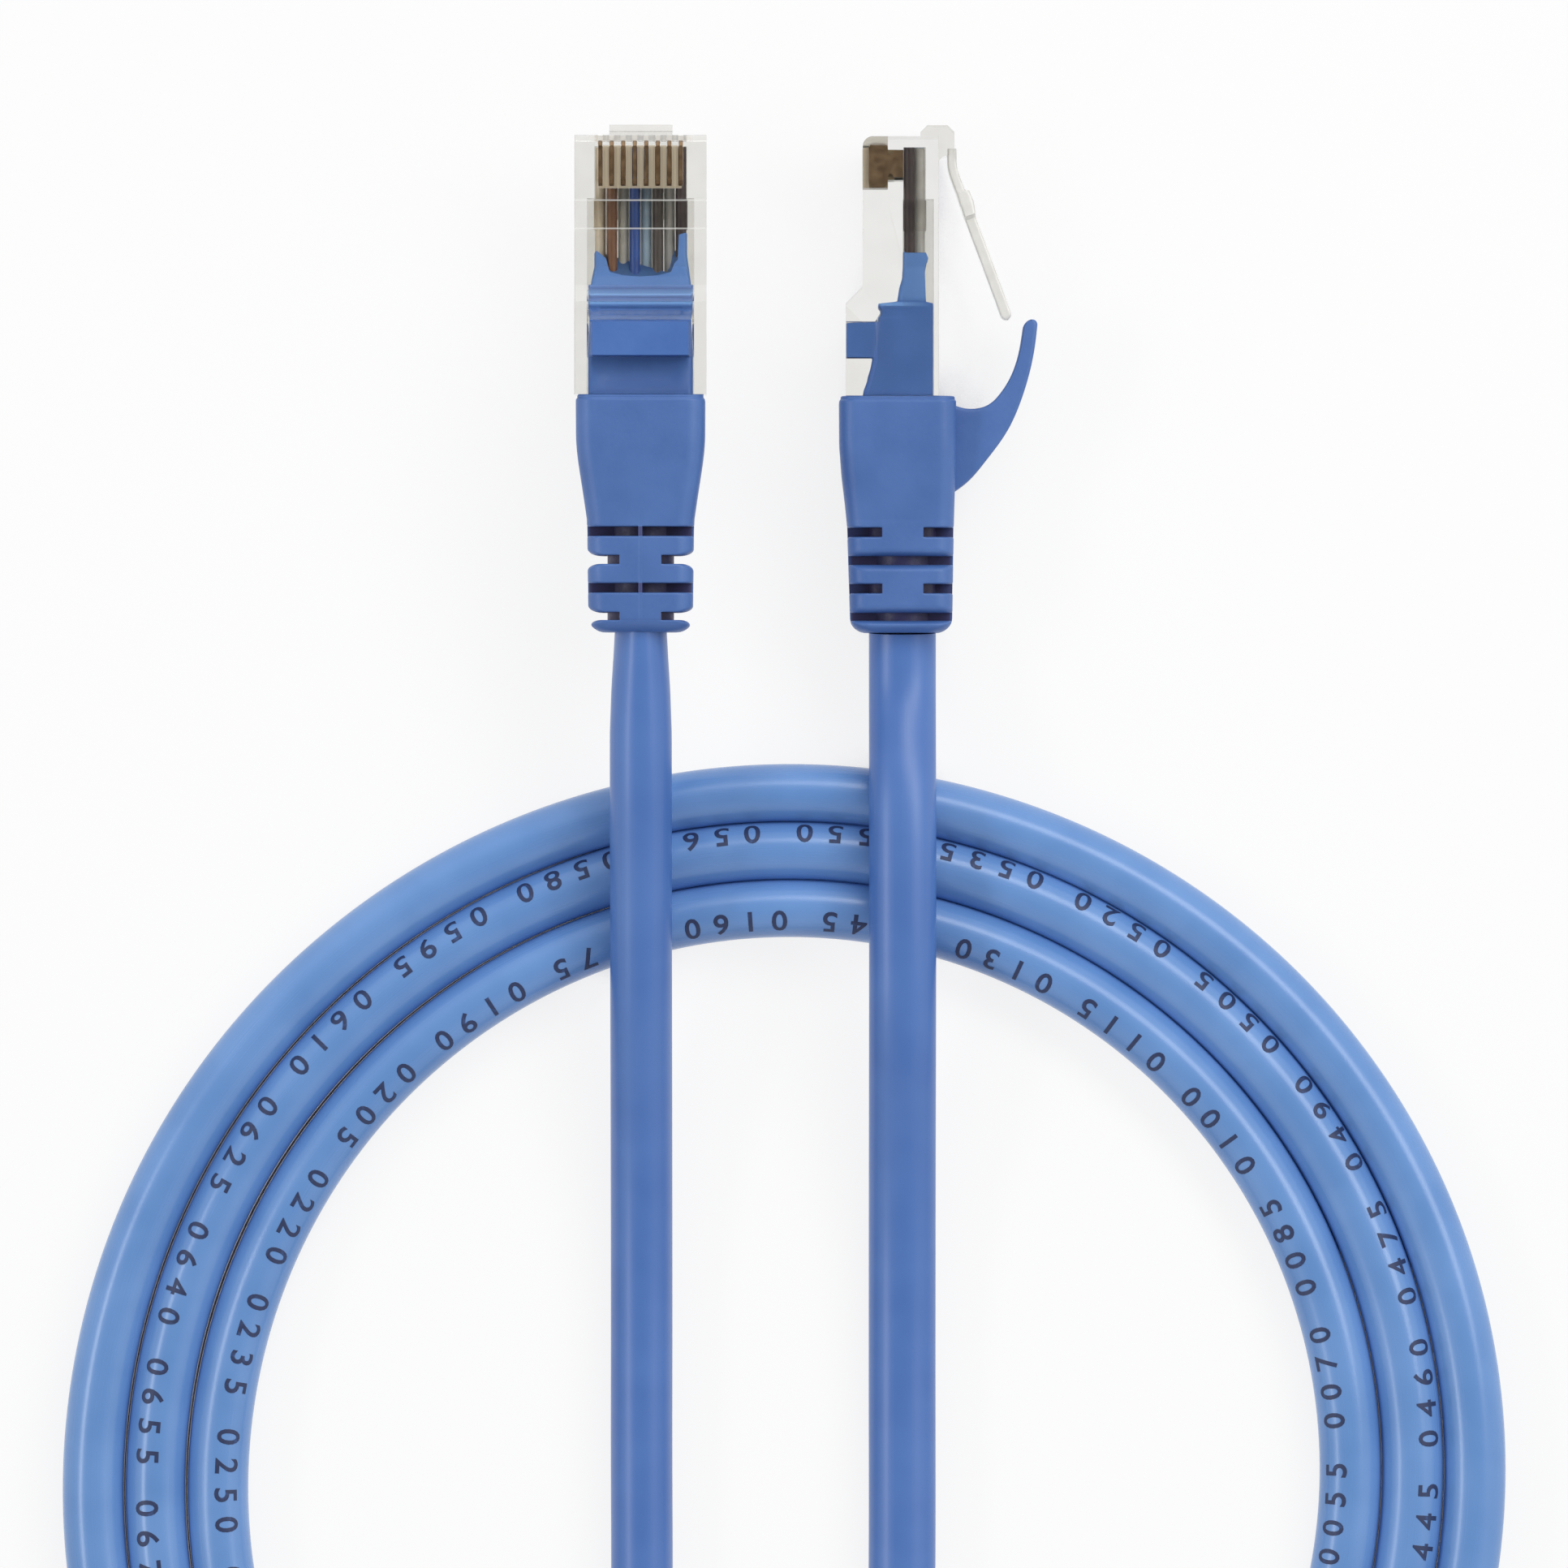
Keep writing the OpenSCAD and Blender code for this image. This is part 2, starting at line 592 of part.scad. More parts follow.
// The guard's strip: its middle line, its direction and its half thickness at s from 0 to 1
function guard_mid(s) = let (c = guard_curve, r = 1 - s)
    r * r * r * c[0] + 3 * r * r * s * c[1] + 3 * r * s * s * c[2] + s * s * s * c[3];
function guard_way(s) = unit(guard_mid(min(s + 0.01, 1)) - guard_mid(max(s - 0.01, 0)));
function guard_half(s) = guard_root_half + s * (guard_tip_t / 2 - guard_root_half);
function guard_edge(s, side) = let (w = guard_way(s), h = side * guard_half(s))
    [guard_mid(s).x - h * w.y, max(guard_mid(s).y + h * w.x, -guard_reach)];

// The round end past the tip, at angle a from the strip's direction
function guard_nose(a) = let (w = guard_way(1)) guard_tip
    + guard_tip_t / 2 * [w.x * cos(a) - w.y * sin(a), w.y * cos(a) + w.x * sin(a)];

module guard() {
    color(cable_colour) {
        side_extrude(guard_w) polygon(concat(
            [for (i = [0:guard_steps - 1]) guard_edge(i / guard_steps, 1)],
            [for (a = [90:-15:-90]) guard_nose(a)],
            [for (i = [guard_steps - 1:-1:0]) guard_edge(i / guard_steps, -1)]));
        cross_bar(guard_bend_y, guard_bend_z, guard_roll_r, guard_w);
    }
}

module cable_coil() {
    color(cable_colour) tube(coil_route, coil_outline());
}

module cable_leg_a() {
    color(cable_colour) tube(leg_a_route, round_outline(cable_r, leg_sides));
}

module cable_leg_b() {
    color(cable_colour) tube(leg_b_route, round_outline(cable_r, leg_sides));
}

// Puts a plug piece where its plug lies
module placed(id) {
    if (id == "a") translate(exit_a) children();
    if (id == "b") translate(exit_b) rotate([0, -90, 0]) children();
}

for (id = plug_ids) {
    plug = str("plug_", id, "_");
    placed(id) housing();
    placed(id) load_bar();
    placed(id) inner_mould();
    placed(id) boot();
    placed(id) jacket_end();
    placed(id) separator();
    placed(id) latch();
    placed(id) guard();
    for (pin = pins) {
        placed(id) contact(pin);
        placed(id) wire(pin);
    }
}
cable_coil();
cable_leg_a();
cable_leg_b();
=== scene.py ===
import json
import math

import bmesh
import bpy
import numpy as np
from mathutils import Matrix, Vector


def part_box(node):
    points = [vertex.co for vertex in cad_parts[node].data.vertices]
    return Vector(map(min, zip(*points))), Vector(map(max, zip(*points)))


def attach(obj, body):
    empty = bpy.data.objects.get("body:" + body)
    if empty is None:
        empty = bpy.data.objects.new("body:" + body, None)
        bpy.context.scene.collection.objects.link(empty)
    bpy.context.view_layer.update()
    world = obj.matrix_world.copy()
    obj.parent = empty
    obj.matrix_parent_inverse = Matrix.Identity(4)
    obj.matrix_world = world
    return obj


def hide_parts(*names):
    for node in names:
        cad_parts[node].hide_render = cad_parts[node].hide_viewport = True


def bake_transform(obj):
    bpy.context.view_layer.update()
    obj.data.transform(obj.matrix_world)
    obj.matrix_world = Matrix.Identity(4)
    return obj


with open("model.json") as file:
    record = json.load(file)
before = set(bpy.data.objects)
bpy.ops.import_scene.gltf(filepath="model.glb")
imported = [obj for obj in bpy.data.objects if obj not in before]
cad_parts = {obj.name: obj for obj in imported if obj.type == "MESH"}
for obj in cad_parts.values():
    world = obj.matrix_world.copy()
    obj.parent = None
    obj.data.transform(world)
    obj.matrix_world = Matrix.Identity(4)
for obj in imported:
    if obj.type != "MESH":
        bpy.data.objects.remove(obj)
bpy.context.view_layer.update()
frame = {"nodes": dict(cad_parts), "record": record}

mm = 0.001
nodes = frame["nodes"]


def addObject(name, data):
    made = bpy.data.objects.new(name, data)
    bpy.context.scene.collection.objects.link(made)
    return made


# ---------- camera ----------
viewValues = {
    "centre": (-2.0, -36.0),     # mm, the point that the camera looks down on
    "height": 1500.0,            # mm above the floor
    "frameWidth": 139.3,         # mm across the frame, at the height of the plugs
    "plugHeight": 9.0,           # mm
    "clip": (0.05, 10),          # m
}


def addCamera(v):
    data = bpy.data.cameras.new("overheadCamera")
    away = v["height"] - v["plugHeight"]
    data.lens = data.sensor_width * away / v["frameWidth"]
    data.clip_start, data.clip_end = v["clip"]
    camera = addObject("overheadCamera", data)
    camera.location = (v["centre"][0] * mm, v["centre"][1] * mm, v["height"] * mm)
    bpy.context.scene.camera = camera


addCamera(viewValues)
print("camera done")


# ---------- meshes from arrays ----------
# Joins rings of points into a closed skin. Point k of ring i joins to point k + 1 and to ring
# i + 1; rings run from +X over +Z, so that faces point outwards. A loop joins its last ring to
# its first, and otherwise both ends are capped. Returns points and faces.
def skin(rings, loop=False):
    count, sides = rings.shape[:2]
    i, k = np.meshgrid(np.arange(count if loop else count - 1), np.arange(sides), indexing="ij")
    here, beside = i * sides + k, i * sides + (k + 1) % sides
    over = lambda index: (index + sides) % (count * sides)
    quads = np.stack([here, over(here), over(beside), beside], -1).reshape(-1, 4).tolist()
    if not loop:
        quads += [list(range(sides)), list(range((count - 1) * sides, count * sides))[::-1]]
    return rings.reshape(-1, 3), quads


def addPiece(name, points, faces, material, slot, body="root", uv=None, sharp=35, marks=None):
    mesh = bpy.data.meshes.new(name)
    mesh.from_pydata(points.tolist(), [], faces)
    for mark, values in (marks or {}).items():
        mesh.attributes.new(mark, "FLOAT", "POINT").data.foreach_set("value", values)
    if uv is not None:
        corners = np.zeros((len(mesh.loops), 2), np.float32)
        corners[:len(uv)] = uv
        mesh.uv_layers.new(name="UVMap").data.foreach_set("uv", corners.ravel())
    mesh.materials.append(material)
    mesh.shade_smooth()
    mesh.set_sharp_from_angle(angle=math.radians(sharp))
    piece = addObject(name, mesh)
    if body:
        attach(piece, body)
    return piece


def pointsOf(mesh):
    points = np.zeros(len(mesh.vertices) * 3)
    mesh.vertices.foreach_get("co", points)
    return points.reshape(-1, 3)


# Where the cable enters a plug's boot, in metres
def plugExit(plug):
    low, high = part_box(f"plug_{plug}_jacket_end")
    return np.array([(low.x + high.x) / 2, low.y, (low.z + high.z) / 2])


exits = {plug: plugExit(plug) for plug in "ab"}


# Plug coordinates in mm (origin on the cable's axis at the boot's rear face, +Y to the nose,
# +Z to the contacts) to the frame in metres. Plug B is turned a quarter about its own axis.
def placed(points, plug):
    p = np.asarray(points, float) * mm
    if plug == "b":
        p = np.stack([-p[..., 2], p[..., 1], p[..., 0]], -1)
    return p + exits[plug]


# A piece of one plug, from rings in plug coordinates, in place of its CAD node. Wires and
# contacts are numbered by pin.
def addPlugPiece(plug, name, node, rings, material, slot, pin="", loop=False, **more):
    points, faces = skin(rings, loop)
    piece = addPiece(f"{name}{plug.upper()}{pin}", placed(points, plug), faces, material, slot,
                     **more)
    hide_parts(f"plug_{plug}_{node}{pin}")
    return piece


# A profile's value at the given places, from its pairs of place and value
def profileAt(profile, places):
    return np.interp(places, *np.array(profile, float).T)


# What a table's rows come to at the given places, when its own rows stand at known ones
def rowsAt(places, known, table):
    return np.stack([np.interp(places, known, column) for column in table.T], -1)


# How far along a path each of its points is
def distanceAlong(path):
    return np.concatenate([[0], np.cumsum(np.linalg.norm(np.diff(path, axis=0), axis=1))])


# ---------- materials ----------
def colour(text):
    parts = [int(text[i:i + 2], 16) / 255 for i in (1, 3, 5)]
    return [c / 12.92 if c <= 0.04045 else ((c + 0.055) / 1.055) ** 2.4 for c in parts] + [1]


# Gives a node its inputs: a socket is linked, a text such as #F2F2F2 is a colour, and any other
# value is set
def feed(tree, node, inputs):
    for key, value in inputs.items():
        if isinstance(value, bpy.types.NodeSocket):
            tree.links.new(value, node.inputs[key])
        else:
            node.inputs[key].default_value = colour(value) if isinstance(value, str) else value


def add(tree, kind, inputs=None, **settings):
    node = tree.nodes.new("ShaderNode" + kind)
    for key, value in settings.items():
        setattr(node, key, value)
    feed(tree, node, inputs or {})
    return node


def emptyTree(owner):
    owner.use_nodes = True
    owner.node_tree.nodes.clear()
    return owner.node_tree


def newMaterial(name):
    material = bpy.data.materials.new(name)
    tree = emptyTree(material)
    shader = add(tree, "BsdfPrincipled")
    add(tree, "OutputMaterial", {"Surface": shader.outputs[0]})
    return material, tree, shader


# Noise of a given grain in mm, read from the piece's own place
def grain(tree, size, detail=2.0, roughness=0.5):
    place = add(tree, "TexCoord")
    return add(tree, "TexNoise", {
        "Vector": place.outputs["Object"], "Scale": 1 / (size * mm), "Detail": detail,
        "Roughness": roughness}).outputs["Fac"]


def calc(tree, operation, a, b):
    return add(tree, "Math", {0: a, 1: b}, operation=operation).outputs[0]


def mixed(tree, factor, a, b):
    return add(tree, "Mix", {0: factor, 6: a, 7: b}, data_type="RGBA").outputs[2]


def blended(tree, share, a, b):
    return add(tree, "MixShader", {0: share, 1: a.outputs[0], 2: b.outputs[0]})


def ranged(tree, value, low, high, toLow, toHigh):
    return add(tree, "MapRange", {
        "Value": value, "From Min": low, "From Max": high, "To Min": toLow,
        "To Max": toHigh}).outputs["Result"]


# Two colours that drift into each other with a noise
def toned(tree, noise, a, b, high=0.65):
    return mixed(tree, ranged(tree, noise, 0.35, high, 0, 1), a, b)


# Relief of a given depth in mm; its input Normal takes another relief that lies under it
def relief(tree, height, strength, depth, **under):
    return add(tree, "Bump", {"Height": height, "Strength": strength, "Distance": depth * mm,
                              **under}).outputs[0]


# Soft PVC, extruded: satin, with fine drag lines along the cable. The wound part, which runs
# from 0.15 to 1.13 m along the cable, is painted lighter as painted light; the legs are darker and
# a little rougher.
def extrudedPvc():
    material, tree, shader = newMaterial("extrudedPvc")
    tone = ranged(tree, grain(tree, 7), 0.35, 0.65, 0, 1)
    place = add(tree, "TexCoord").outputs["UV"]
    along = add(tree, "SeparateXYZ", {0: place}).outputs[0]
    wound = calc(tree, "MULTIPLY", ranged(tree, along, 0.135, 0.165, 0, 1),
                 ranged(tree, along, 1.115, 1.145, 1, 0))
    legs = mixed(tree, tone, "#4B73B8", "#527ABE")
    # painted light: the wound part's lighter blue stands in for the light that falls on the coil
    turnsPaintedLighter = mixed(tree, tone, "#6692CE", "#709BD6")
    stretch = add(tree, "Mapping", {"Vector": place, "Scale": (18, 15, 1)})
    drag = add(tree, "TexNoise", {"Vector": stretch.outputs[0], "Scale": 1,
                                  "Detail": 3}).outputs["Fac"]
    gloss = calc(tree, "ADD", ranged(tree, drag, 0.3, 0.7, 0.22, 0.3),
                 ranged(tree, wound, 0, 1, 0.1, 0))
    fine = relief(tree, grain(tree, 0.25), 0.25, 0.02)
    feed(tree, shader, {
        "Base Color": mixed(tree, wound, legs, turnsPaintedLighter), "Roughness": gloss, "IOR": 1.53,
        "Normal": relief(tree, drag, 0.4, 0.03, Normal=fine)})
    return material


# Soft PVC, injection moulded: the tool's fine spark-eroded texture makes it matter. One point
# attribute is 1 deep in a slot, where a dark blue is painted in as painted shade, and another is 1
# where a light blue is painted in as a painted highlight.
def mouldedPvc(name, main, shade):
    material, tree, shader = newMaterial(name)
    fine = grain(tree, 0.3, 3)
    shadeShare = add(tree, "Attribute", attribute_name="paintedShade").outputs["Fac"]
    highlightShare = add(tree, "Attribute", attribute_name="paintedHighlight").outputs["Fac"]
    # painted highlight in light blue, then painted shade in dark blue, each by its attribute
    plain = mixed(tree, highlightShare, toned(tree, grain(tree, 5), main, shade), "#80B2F0")
    feed(tree, shader, {
        "Base Color": mixed(tree, shadeShare, plain, "#3C3966"), "IOR": 1.53,
        "Roughness": ranged(tree, fine, 0.3, 0.7, 0.42, 0.54),
        "Normal": relief(tree, fine, 0.35, 0.03)})
    return material


# Lets the lamps reach what lies inside or behind a clear piece
def litThrough(tree, shader, tint):
    ray = add(tree, "LightPath")
    clear = add(tree, "BsdfTransparent", {"Color": tint})
    both = blended(tree, ray.outputs["Is Shadow Ray"], shader, clear)
    output = next(n for n in tree.nodes if n.type == "OUTPUT_MATERIAL")
    feed(tree, output, {"Surface": both.outputs[0]})


# Polycarbonate, injection moulded and polished: water-clear with a trace of grey. Each zone is
# a box, as low and high corners in mm, where it takes another colour and lets less light through.
def clearPolycarbonate(name, zones=(), ior=1.585):
    material, tree, shader = newMaterial(name)
    flow = grain(tree, 3)
    body, passing = toned(tree, flow, "#EFEEEA", "#E9E8E4"), 1.0
    for low, high, tint, clearness, fade in zones:
        place = add(tree, "TexCoord")
        middle = add(tree, "VectorMath", {
            0: place.outputs["Object"], 1: tuple((low + high) / 2 * mm)}, operation="SUBTRACT")
        away = add(tree, "VectorMath", {0: middle.outputs[0]}, operation="ABSOLUTE")
        split = add(tree, "SeparateXYZ", {0: away.outputs[0]})
        inside = 1.0
        for axis in range(3):
            half = (high - low)[axis] / 2
            near = ranged(tree, split.outputs[axis], half * mm, (half + fade) * mm, 1, 0)
            inside = calc(tree, "MULTIPLY", near, inside)
        body = mixed(tree, inside, body, tint)
        passing = calc(tree, "MULTIPLY", passing, ranged(tree, inside, 0, 1, 1, clearness))
    feed(tree, shader, {
        "Base Color": body, "IOR": ior, "Specular IOR Level": 0.25,
        "Transmission Weight": passing, "Roughness": ranged(tree, flow, 0.3, 0.7, 0.03, 0.07),
        "Normal": relief(tree, flow, 0.05, 0.1)})
    litThrough(tree, shader, "#F4F4F4")
    return material


# The same plastic where it is thin and milky: the latch's matter faces
def milkyPolycarbonate():
    material, tree, shader = newMaterial("milkyPolycarbonate")
    flow = grain(tree, 1.6)
    feed(tree, shader, {
        "Base Color": toned(tree, flow, "#F1F0EC", "#E8E7E2"), "IOR": 1.585,
        "Transmission Weight": 0.55, "Roughness": ranged(tree, flow, 0.3, 0.7, 0.16, 0.24)})
    litThrough(tree, shader, "#E4E4E4")
    return material


# Phosphor bronze with a gold flash, stamped and a little worn
def goldFlash():
    material, tree, shader = newMaterial("goldFlash")
    wear = grain(tree, 0.8, 4)
    feed(tree, shader, {
        "Base Color": toned(tree, wear, "#7C654C", "#947B5E", high=0.7), "Metallic": 0.7,
        "Roughness": ranged(tree, wear, 0.3, 0.7, 0.28, 0.42)})
    return material


# Polyethylene, extruded: a waxy skin. The separator is made of it too.
def wireInsulation(name, main, shade):
    material, tree, shader = newMaterial(name)
    blotch = grain(tree, 1.5)
    feed(tree, shader, {"Base Color": toned(tree, blotch, main, shade),
                        "Roughness": ranged(tree, blotch, 0.3, 0.7, 0.3, 0.42)})
    return material


# Ink-jet print, slightly worn, on the jacket
def wornInk():
    material, tree, shader = newMaterial("wornInk")
    worn = grain(tree, 0.9, 4, 0.6)
    bare = ranged(tree, worn, 0.58, 0.8, 0, 0.5)
    feed(tree, shader, {"Base Color": mixed(tree, bare, "#27345A", "#4F76BA"),
                        "Roughness": ranged(tree, worn, 0.3, 0.7, 0.45, 0.6)})
    return material


jacketPvc = extrudedPvc()
plugPvc = mouldedPvc("mouldedPvc", "#456AAA", "#4D72B2")
innerPvc = mouldedPvc("innerMouldPvc", "#406AB0", "#4872B8")
latchPlastic = milkyPolycarbonate()


# A zone of a plug's clear plastic: low and high corners in plug coordinates, colour, the share
# of light that still passes, and the width in mm over which it fades
def zone(plug, low, high, tint, clearness, fade=0.1):
    corners = np.array([placed(p, plug) / mm for p in (low, high)])
    return corners.min(0), corners.max(0), tint, clearness, fade


# The field that the contacts stand in takes their tan, the nose in front of it is frosted, and
# two pale lines over the load bar's rear and front edges are painted reflections
housingZones = [((-3.6, 39.3, 0.8), (3.6, 43.0, 3.04), "#B8A88A", 0.5),
                ((-3.6, 39.3, 3.5), (3.6, 43.0, 3.6), "#B8A88A", 0.5),
                ((-3.6, 39.3, 3.04), (3.6, 43.0, 3.48), "#DCCFBC", 0.5),
                ((-4.4, 43.45, -1.4), (4.4, 45.2, 3.6), "#E4E1DA", 0.45, 0.25),
                # painted reflections: pale lines over the load bar's rear and front edges
                ((-6, 38.14, 3.5), (6, 38.24, 3.6), "#F4F4F0", 0.6, 0.04),
                ((-6, 35.64, 3.5), (6, 35.74, 3.6), "#F4F4F0", 0.6, 0.04)]
housingPlastic = {plug: clearPolycarbonate("housingPolycarbonate" + plug.upper(),
                                           [zone(plug, *values) for values in housingZones])
                  for plug in "ab"}
# The wires stand in the bar without the air of their real holes, so it bends light less
barPlastic = clearPolycarbonate("loadBarPolycarbonate", ior=1.25)
contactMetal = goldFlash()
separatorPlastic = wireInsulation("naturalPolyethylene", "#F2F0EA", "#E6E3DA")
wireColours = [("whiteOrange", "#DACCB6", "#C8B89E"), ("orange", "#80593E", "#6E4A32"),
               ("whiteGreen", "#D0CDC2", "#BEBBB0"), ("blue", "#34569E", "#2A4A8E"),
               ("whiteBlue", "#B8D0E2", "#A4BCD0"), ("green", "#544C48", "#463F3A"),
               ("whiteBrown", "#C2C0BA", "#B0AEA8"), ("brown", "#463A3A", "#382E30")]
wireMaterials = [wireInsulation(name + "Insulation", main, shade)
                 for name, main, shade in wireColours]
inkPrint = wornInk()
print("materials done")

# ---------- the cable ----------
cableValues = {
    "diameter": 5.5,             # mm
    "coilCentre": (-0.6, -98.0),
    "startRadius": 48.2,         # mm, where the innermost turn begins
    "turnPitch": 5.55,           # mm
    "startAngle": -60.0,         # degrees
    "turnStep": 15.0,            # degrees from one point of the coil to the next
    "turnSteps": 66,
    "sides": 32,
    "step": 1.1,                 # mm along the cable
    "statedLength": 1.309,       # m between the two boots
    "closer": 0.075,             # share by which the turns close up on the plugs' side of the coil
}
# The cord is slightly oval and twists: its width, as a share of its diameter, by the distance
# in mm from plug A, and on the coil by the angle. The height is as much more or less.
leavingA = [(0, 0.84), (2, 0.88), (5, 0.95), (9, 1.0)]
coilWidth = [(0, 1.0), (30, 0.985), (60, 0.95), (90, 0.935), (120, 0.95), (150, 0.985),
             (180, 1.0), (360, 1.0)]
legBWidth = [(0, 1.0), (60, 1.085), (400, 1.085)]
legAStraight = [(-36, 11.6), (-46, 9.8), (-54, 8.3), (-61, 6.4), (-68, 4.6), (-76, 3.3),
                (-86, 2.8), (-98, 2.75), (-110, 2.75)]
legABend = [(-14.6, -122.8), (-12.2, -132.9), (-5.4, -140.7), (3.7, -144.7)]
legBBend = [(-45.8, -144, 3.7), (-40.2, -148.5, 5.8), (-33.5, -151.8, 7.8),
            (-25.9, -153.5, 8.7), (-18, -153.4, 8.9), (-10.2, -151.3, 8.9), (-3, -147, 8.8),
            (3, -141, 8.2), (7, -133, 6)]
legBStraight = [(-124, 4), (-114, 2.9), (-104, 2.75), (-92, 2.75), (-82, 2.9), (-74, 3.8),
                (-66, 5.6), (-59, 7.6), (-52, 8.7), (-44, 8.9), (-36, 8.3)]


# The whole route in mm: leg A, the spiral, whose radius grows evenly with its angle, and leg B
def cableRoute(v):
    radius = v["diameter"] / 2
    start = math.radians(v["startAngle"])
    angles = start + np.radians(v["turnStep"]) * np.arange(v["turnSteps"] + 1)
    reach = v["startRadius"] + v["turnPitch"] * (angles - start) / (2 * np.pi)
    middle = np.interp(angles % (2 * np.pi) + 2 * np.pi, angles, reach)
    closer = v["closer"] * np.clip(np.sin(angles), 0, 1) ** 2
    reach = reach + (middle - reach) * closer
    wide = profileAt(coilWidth, np.degrees(angles) % 360)
    spiral = np.stack([v["coilCentre"][0] + reach * np.cos(angles),
                       v["coilCentre"][1] + reach * np.sin(angles), radius / wide], -1)
    ahead = lambda angle: np.array([-math.sin(angle), math.cos(angle), 0]) * v["diameter"]
    leadIn, leadOut = ahead(angles[0] - np.radians(v["turnStep"]) / 2), ahead(angles[-1])
    exitA, exitB = exits["a"] / mm, exits["b"] / mm
    straight = np.array([0, v["diameter"], 0])
    legA = [exitA, exitA - straight] + [(exitA[0], y, z) for y, z in legAStraight]
    legA += [(x, y, radius) for x, y in legABend] + [spiral[0] - 2 * leadIn, spiral[0] - leadIn]
    legB = [spiral[-1] + leadOut, spiral[-1] + 2 * leadOut] + legBBend
    legB += [(exitB[0], y, z) for y, z in legBStraight] + [exitB - straight, exitB]
    return np.array(legA), spiral, np.array(legB)


# A natural cubic spline through the points, by the distance between them. The bends m at the
# points solve h0 m0 + 2 (h0 + h1) m1 + h1 m2 = 6 (slope1 - slope0), with none at the ends.
def splineThrough(points, step):
    gaps = np.linalg.norm(np.diff(points, axis=0), axis=1)
    at = np.concatenate([[0], np.cumsum(gaps)])
    count = len(points)
    slopes = np.diff(points, axis=0) / gaps[:, None]
    system = np.eye(count)
    inner = np.arange(1, count - 1)
    system[inner, inner - 1] = gaps[:-1]
    system[inner, inner] = 2 * (gaps[:-1] + gaps[1:])
    system[inner, inner + 1] = gaps[1:]
    pull = np.zeros_like(points)
    pull[1:-1] = 6 * np.diff(slopes, axis=0)
    bend = np.linalg.solve(system, pull)
    along = np.linspace(0, at[-1], int(round(at[-1] / step)) + 1)
    k = np.clip(np.searchsorted(at, along, side="right") - 1, 0, count - 2)
    h, a, b = gaps[k][:, None], (at[k + 1] - along)[:, None], (along - at[k])[:, None]
    return ((bend[k] * a ** 3 + bend[k + 1] * b ** 3) / (6 * h)
            + (points[k] / h - bend[k] * h / 6) * a
            + (points[k + 1] / h - bend[k + 1] * h / 6) * b)


def ease(value, low, high):
    t = np.clip((value - low) / (high - low), 0, 1)
    return t * t * (3 - 2 * t)


def unit(v):
    return v / np.linalg.norm(v, axis=-1, keepdims=True)


# Side and up at each point of a path that is never upright
def pathFrame(path):
    direction = unit(np.gradient(path, axis=0))
    side = unit(np.cross(direction, [0, 0, 1]))
    return side, np.cross(side, direction)


# A round tube: point k of a ring lies at radius r from the path, at angle 2 pi k / sides from
# its side towards its up
def tubeRings(path, radius, sides, wide=1.0):
    side, up = pathFrame(path)
    wide = np.broadcast_to(wide, len(path))[:, None]
    side, up = side * wide, up / wide
    angle = np.arange(sides) * 2 * np.pi / sides
    ring = np.cos(angle)[None, :, None] * side[:, None] + np.sin(angle)[None, :, None] * up[:, None]
    return path[:, None] + radius * ring


# Texture corners for a tube's faces, in the order of its skin: metres along, turns around
def tubeUv(path, sides):
    run = distanceAlong(path)
    i, k = np.meshgrid(np.arange(len(path) - 1), np.arange(sides), indexing="ij")
    corners = [(run[i], k / sides), (run[i + 1], k / sides), (run[i + 1], (k + 1) / sides),
               (run[i], (k + 1) / sides)]
    return np.stack([np.stack(c, -1) for c in corners], -2).reshape(-1, 2)


legARoute, coilRoute, legBRoute = cableRoute(cableValues)
cablePath = splineThrough(np.concatenate([legARoute, coilRoute, legBRoute]),
                          cableValues["step"]) * mm
cableRun = distanceAlong(cablePath) / mm
coilStart, coilEnd = [np.argmin(np.linalg.norm(cablePath - end * mm, axis=1))
                      for end in coilRoute[[0, -1]]]
coilTurn = cableValues["turnStep"] * cableValues["turnSteps"]


# The cord's width at each point of its path, as a share of its diameter
def cableWidth(startAngle):
    number = np.arange(len(cablePath))
    angle = np.interp(number, [coilStart, coilEnd], [startAngle, startAngle + coilTurn])
    return np.select([number < coilStart, number > coilEnd],
                     [profileAt(leavingA, cableRun),
                      profileAt(legBWidth, cableRun - cableRun[coilEnd])],
                     profileAt(coilWidth, angle % 360))


cableWide = cableWidth(cableValues["startAngle"])
cableRings = tubeRings(cablePath, cableValues["diameter"] / 2 * mm, cableValues["sides"], cableWide)
cable = addPiece("patchCable", *skin(cableRings), jacketPvc, "blue_jacket",
                 uv=tubeUv(cablePath, cableValues["sides"]))
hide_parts("cable_coil", "cable_leg_a", "cable_leg_b")

# Plain figures every few millimetres, printed on the wound part and following its surface. Each
# is cut across at several heights, so that its straight strokes bend round the cord too.
# A glyph's point x, y, z lies x along the cable, y across it and z above its skin.
printValues = {
    "height": 2.0,               # mm
    "typeSize": 3.0,             # mm, of the type whose figures are that high
    "cuts": 6,                   # across each figure
    "pitch": 2.65,               # mm from one figure to the next
    "wordGap": 1.9,              # mm added after each number
    "figures": 4,                # in each number
    "thickness": 0.02,           # mm
    "lift": 0.004,               # mm of space under the print
    "boldness": 0.045,           # mm that each stroke gains on either side
    "firstGap": 6,               # mm from the coil's start to the first number
    "share": 0.74,               # of the coil's length that is printed
    "startMark": 10,
    "markStep": 15,
}
# Where the print lies round the cable, in degrees inwards of its top, by the coil's angle
printLie = [(-60, 35), (0, 30), (45, 27), (90, 26), (160, 17), (270, -10), (360, -45),
            (420, -40), (450, -30), (510, -16), (530, -26), (600, -60), (660, -90), (700, -110)]


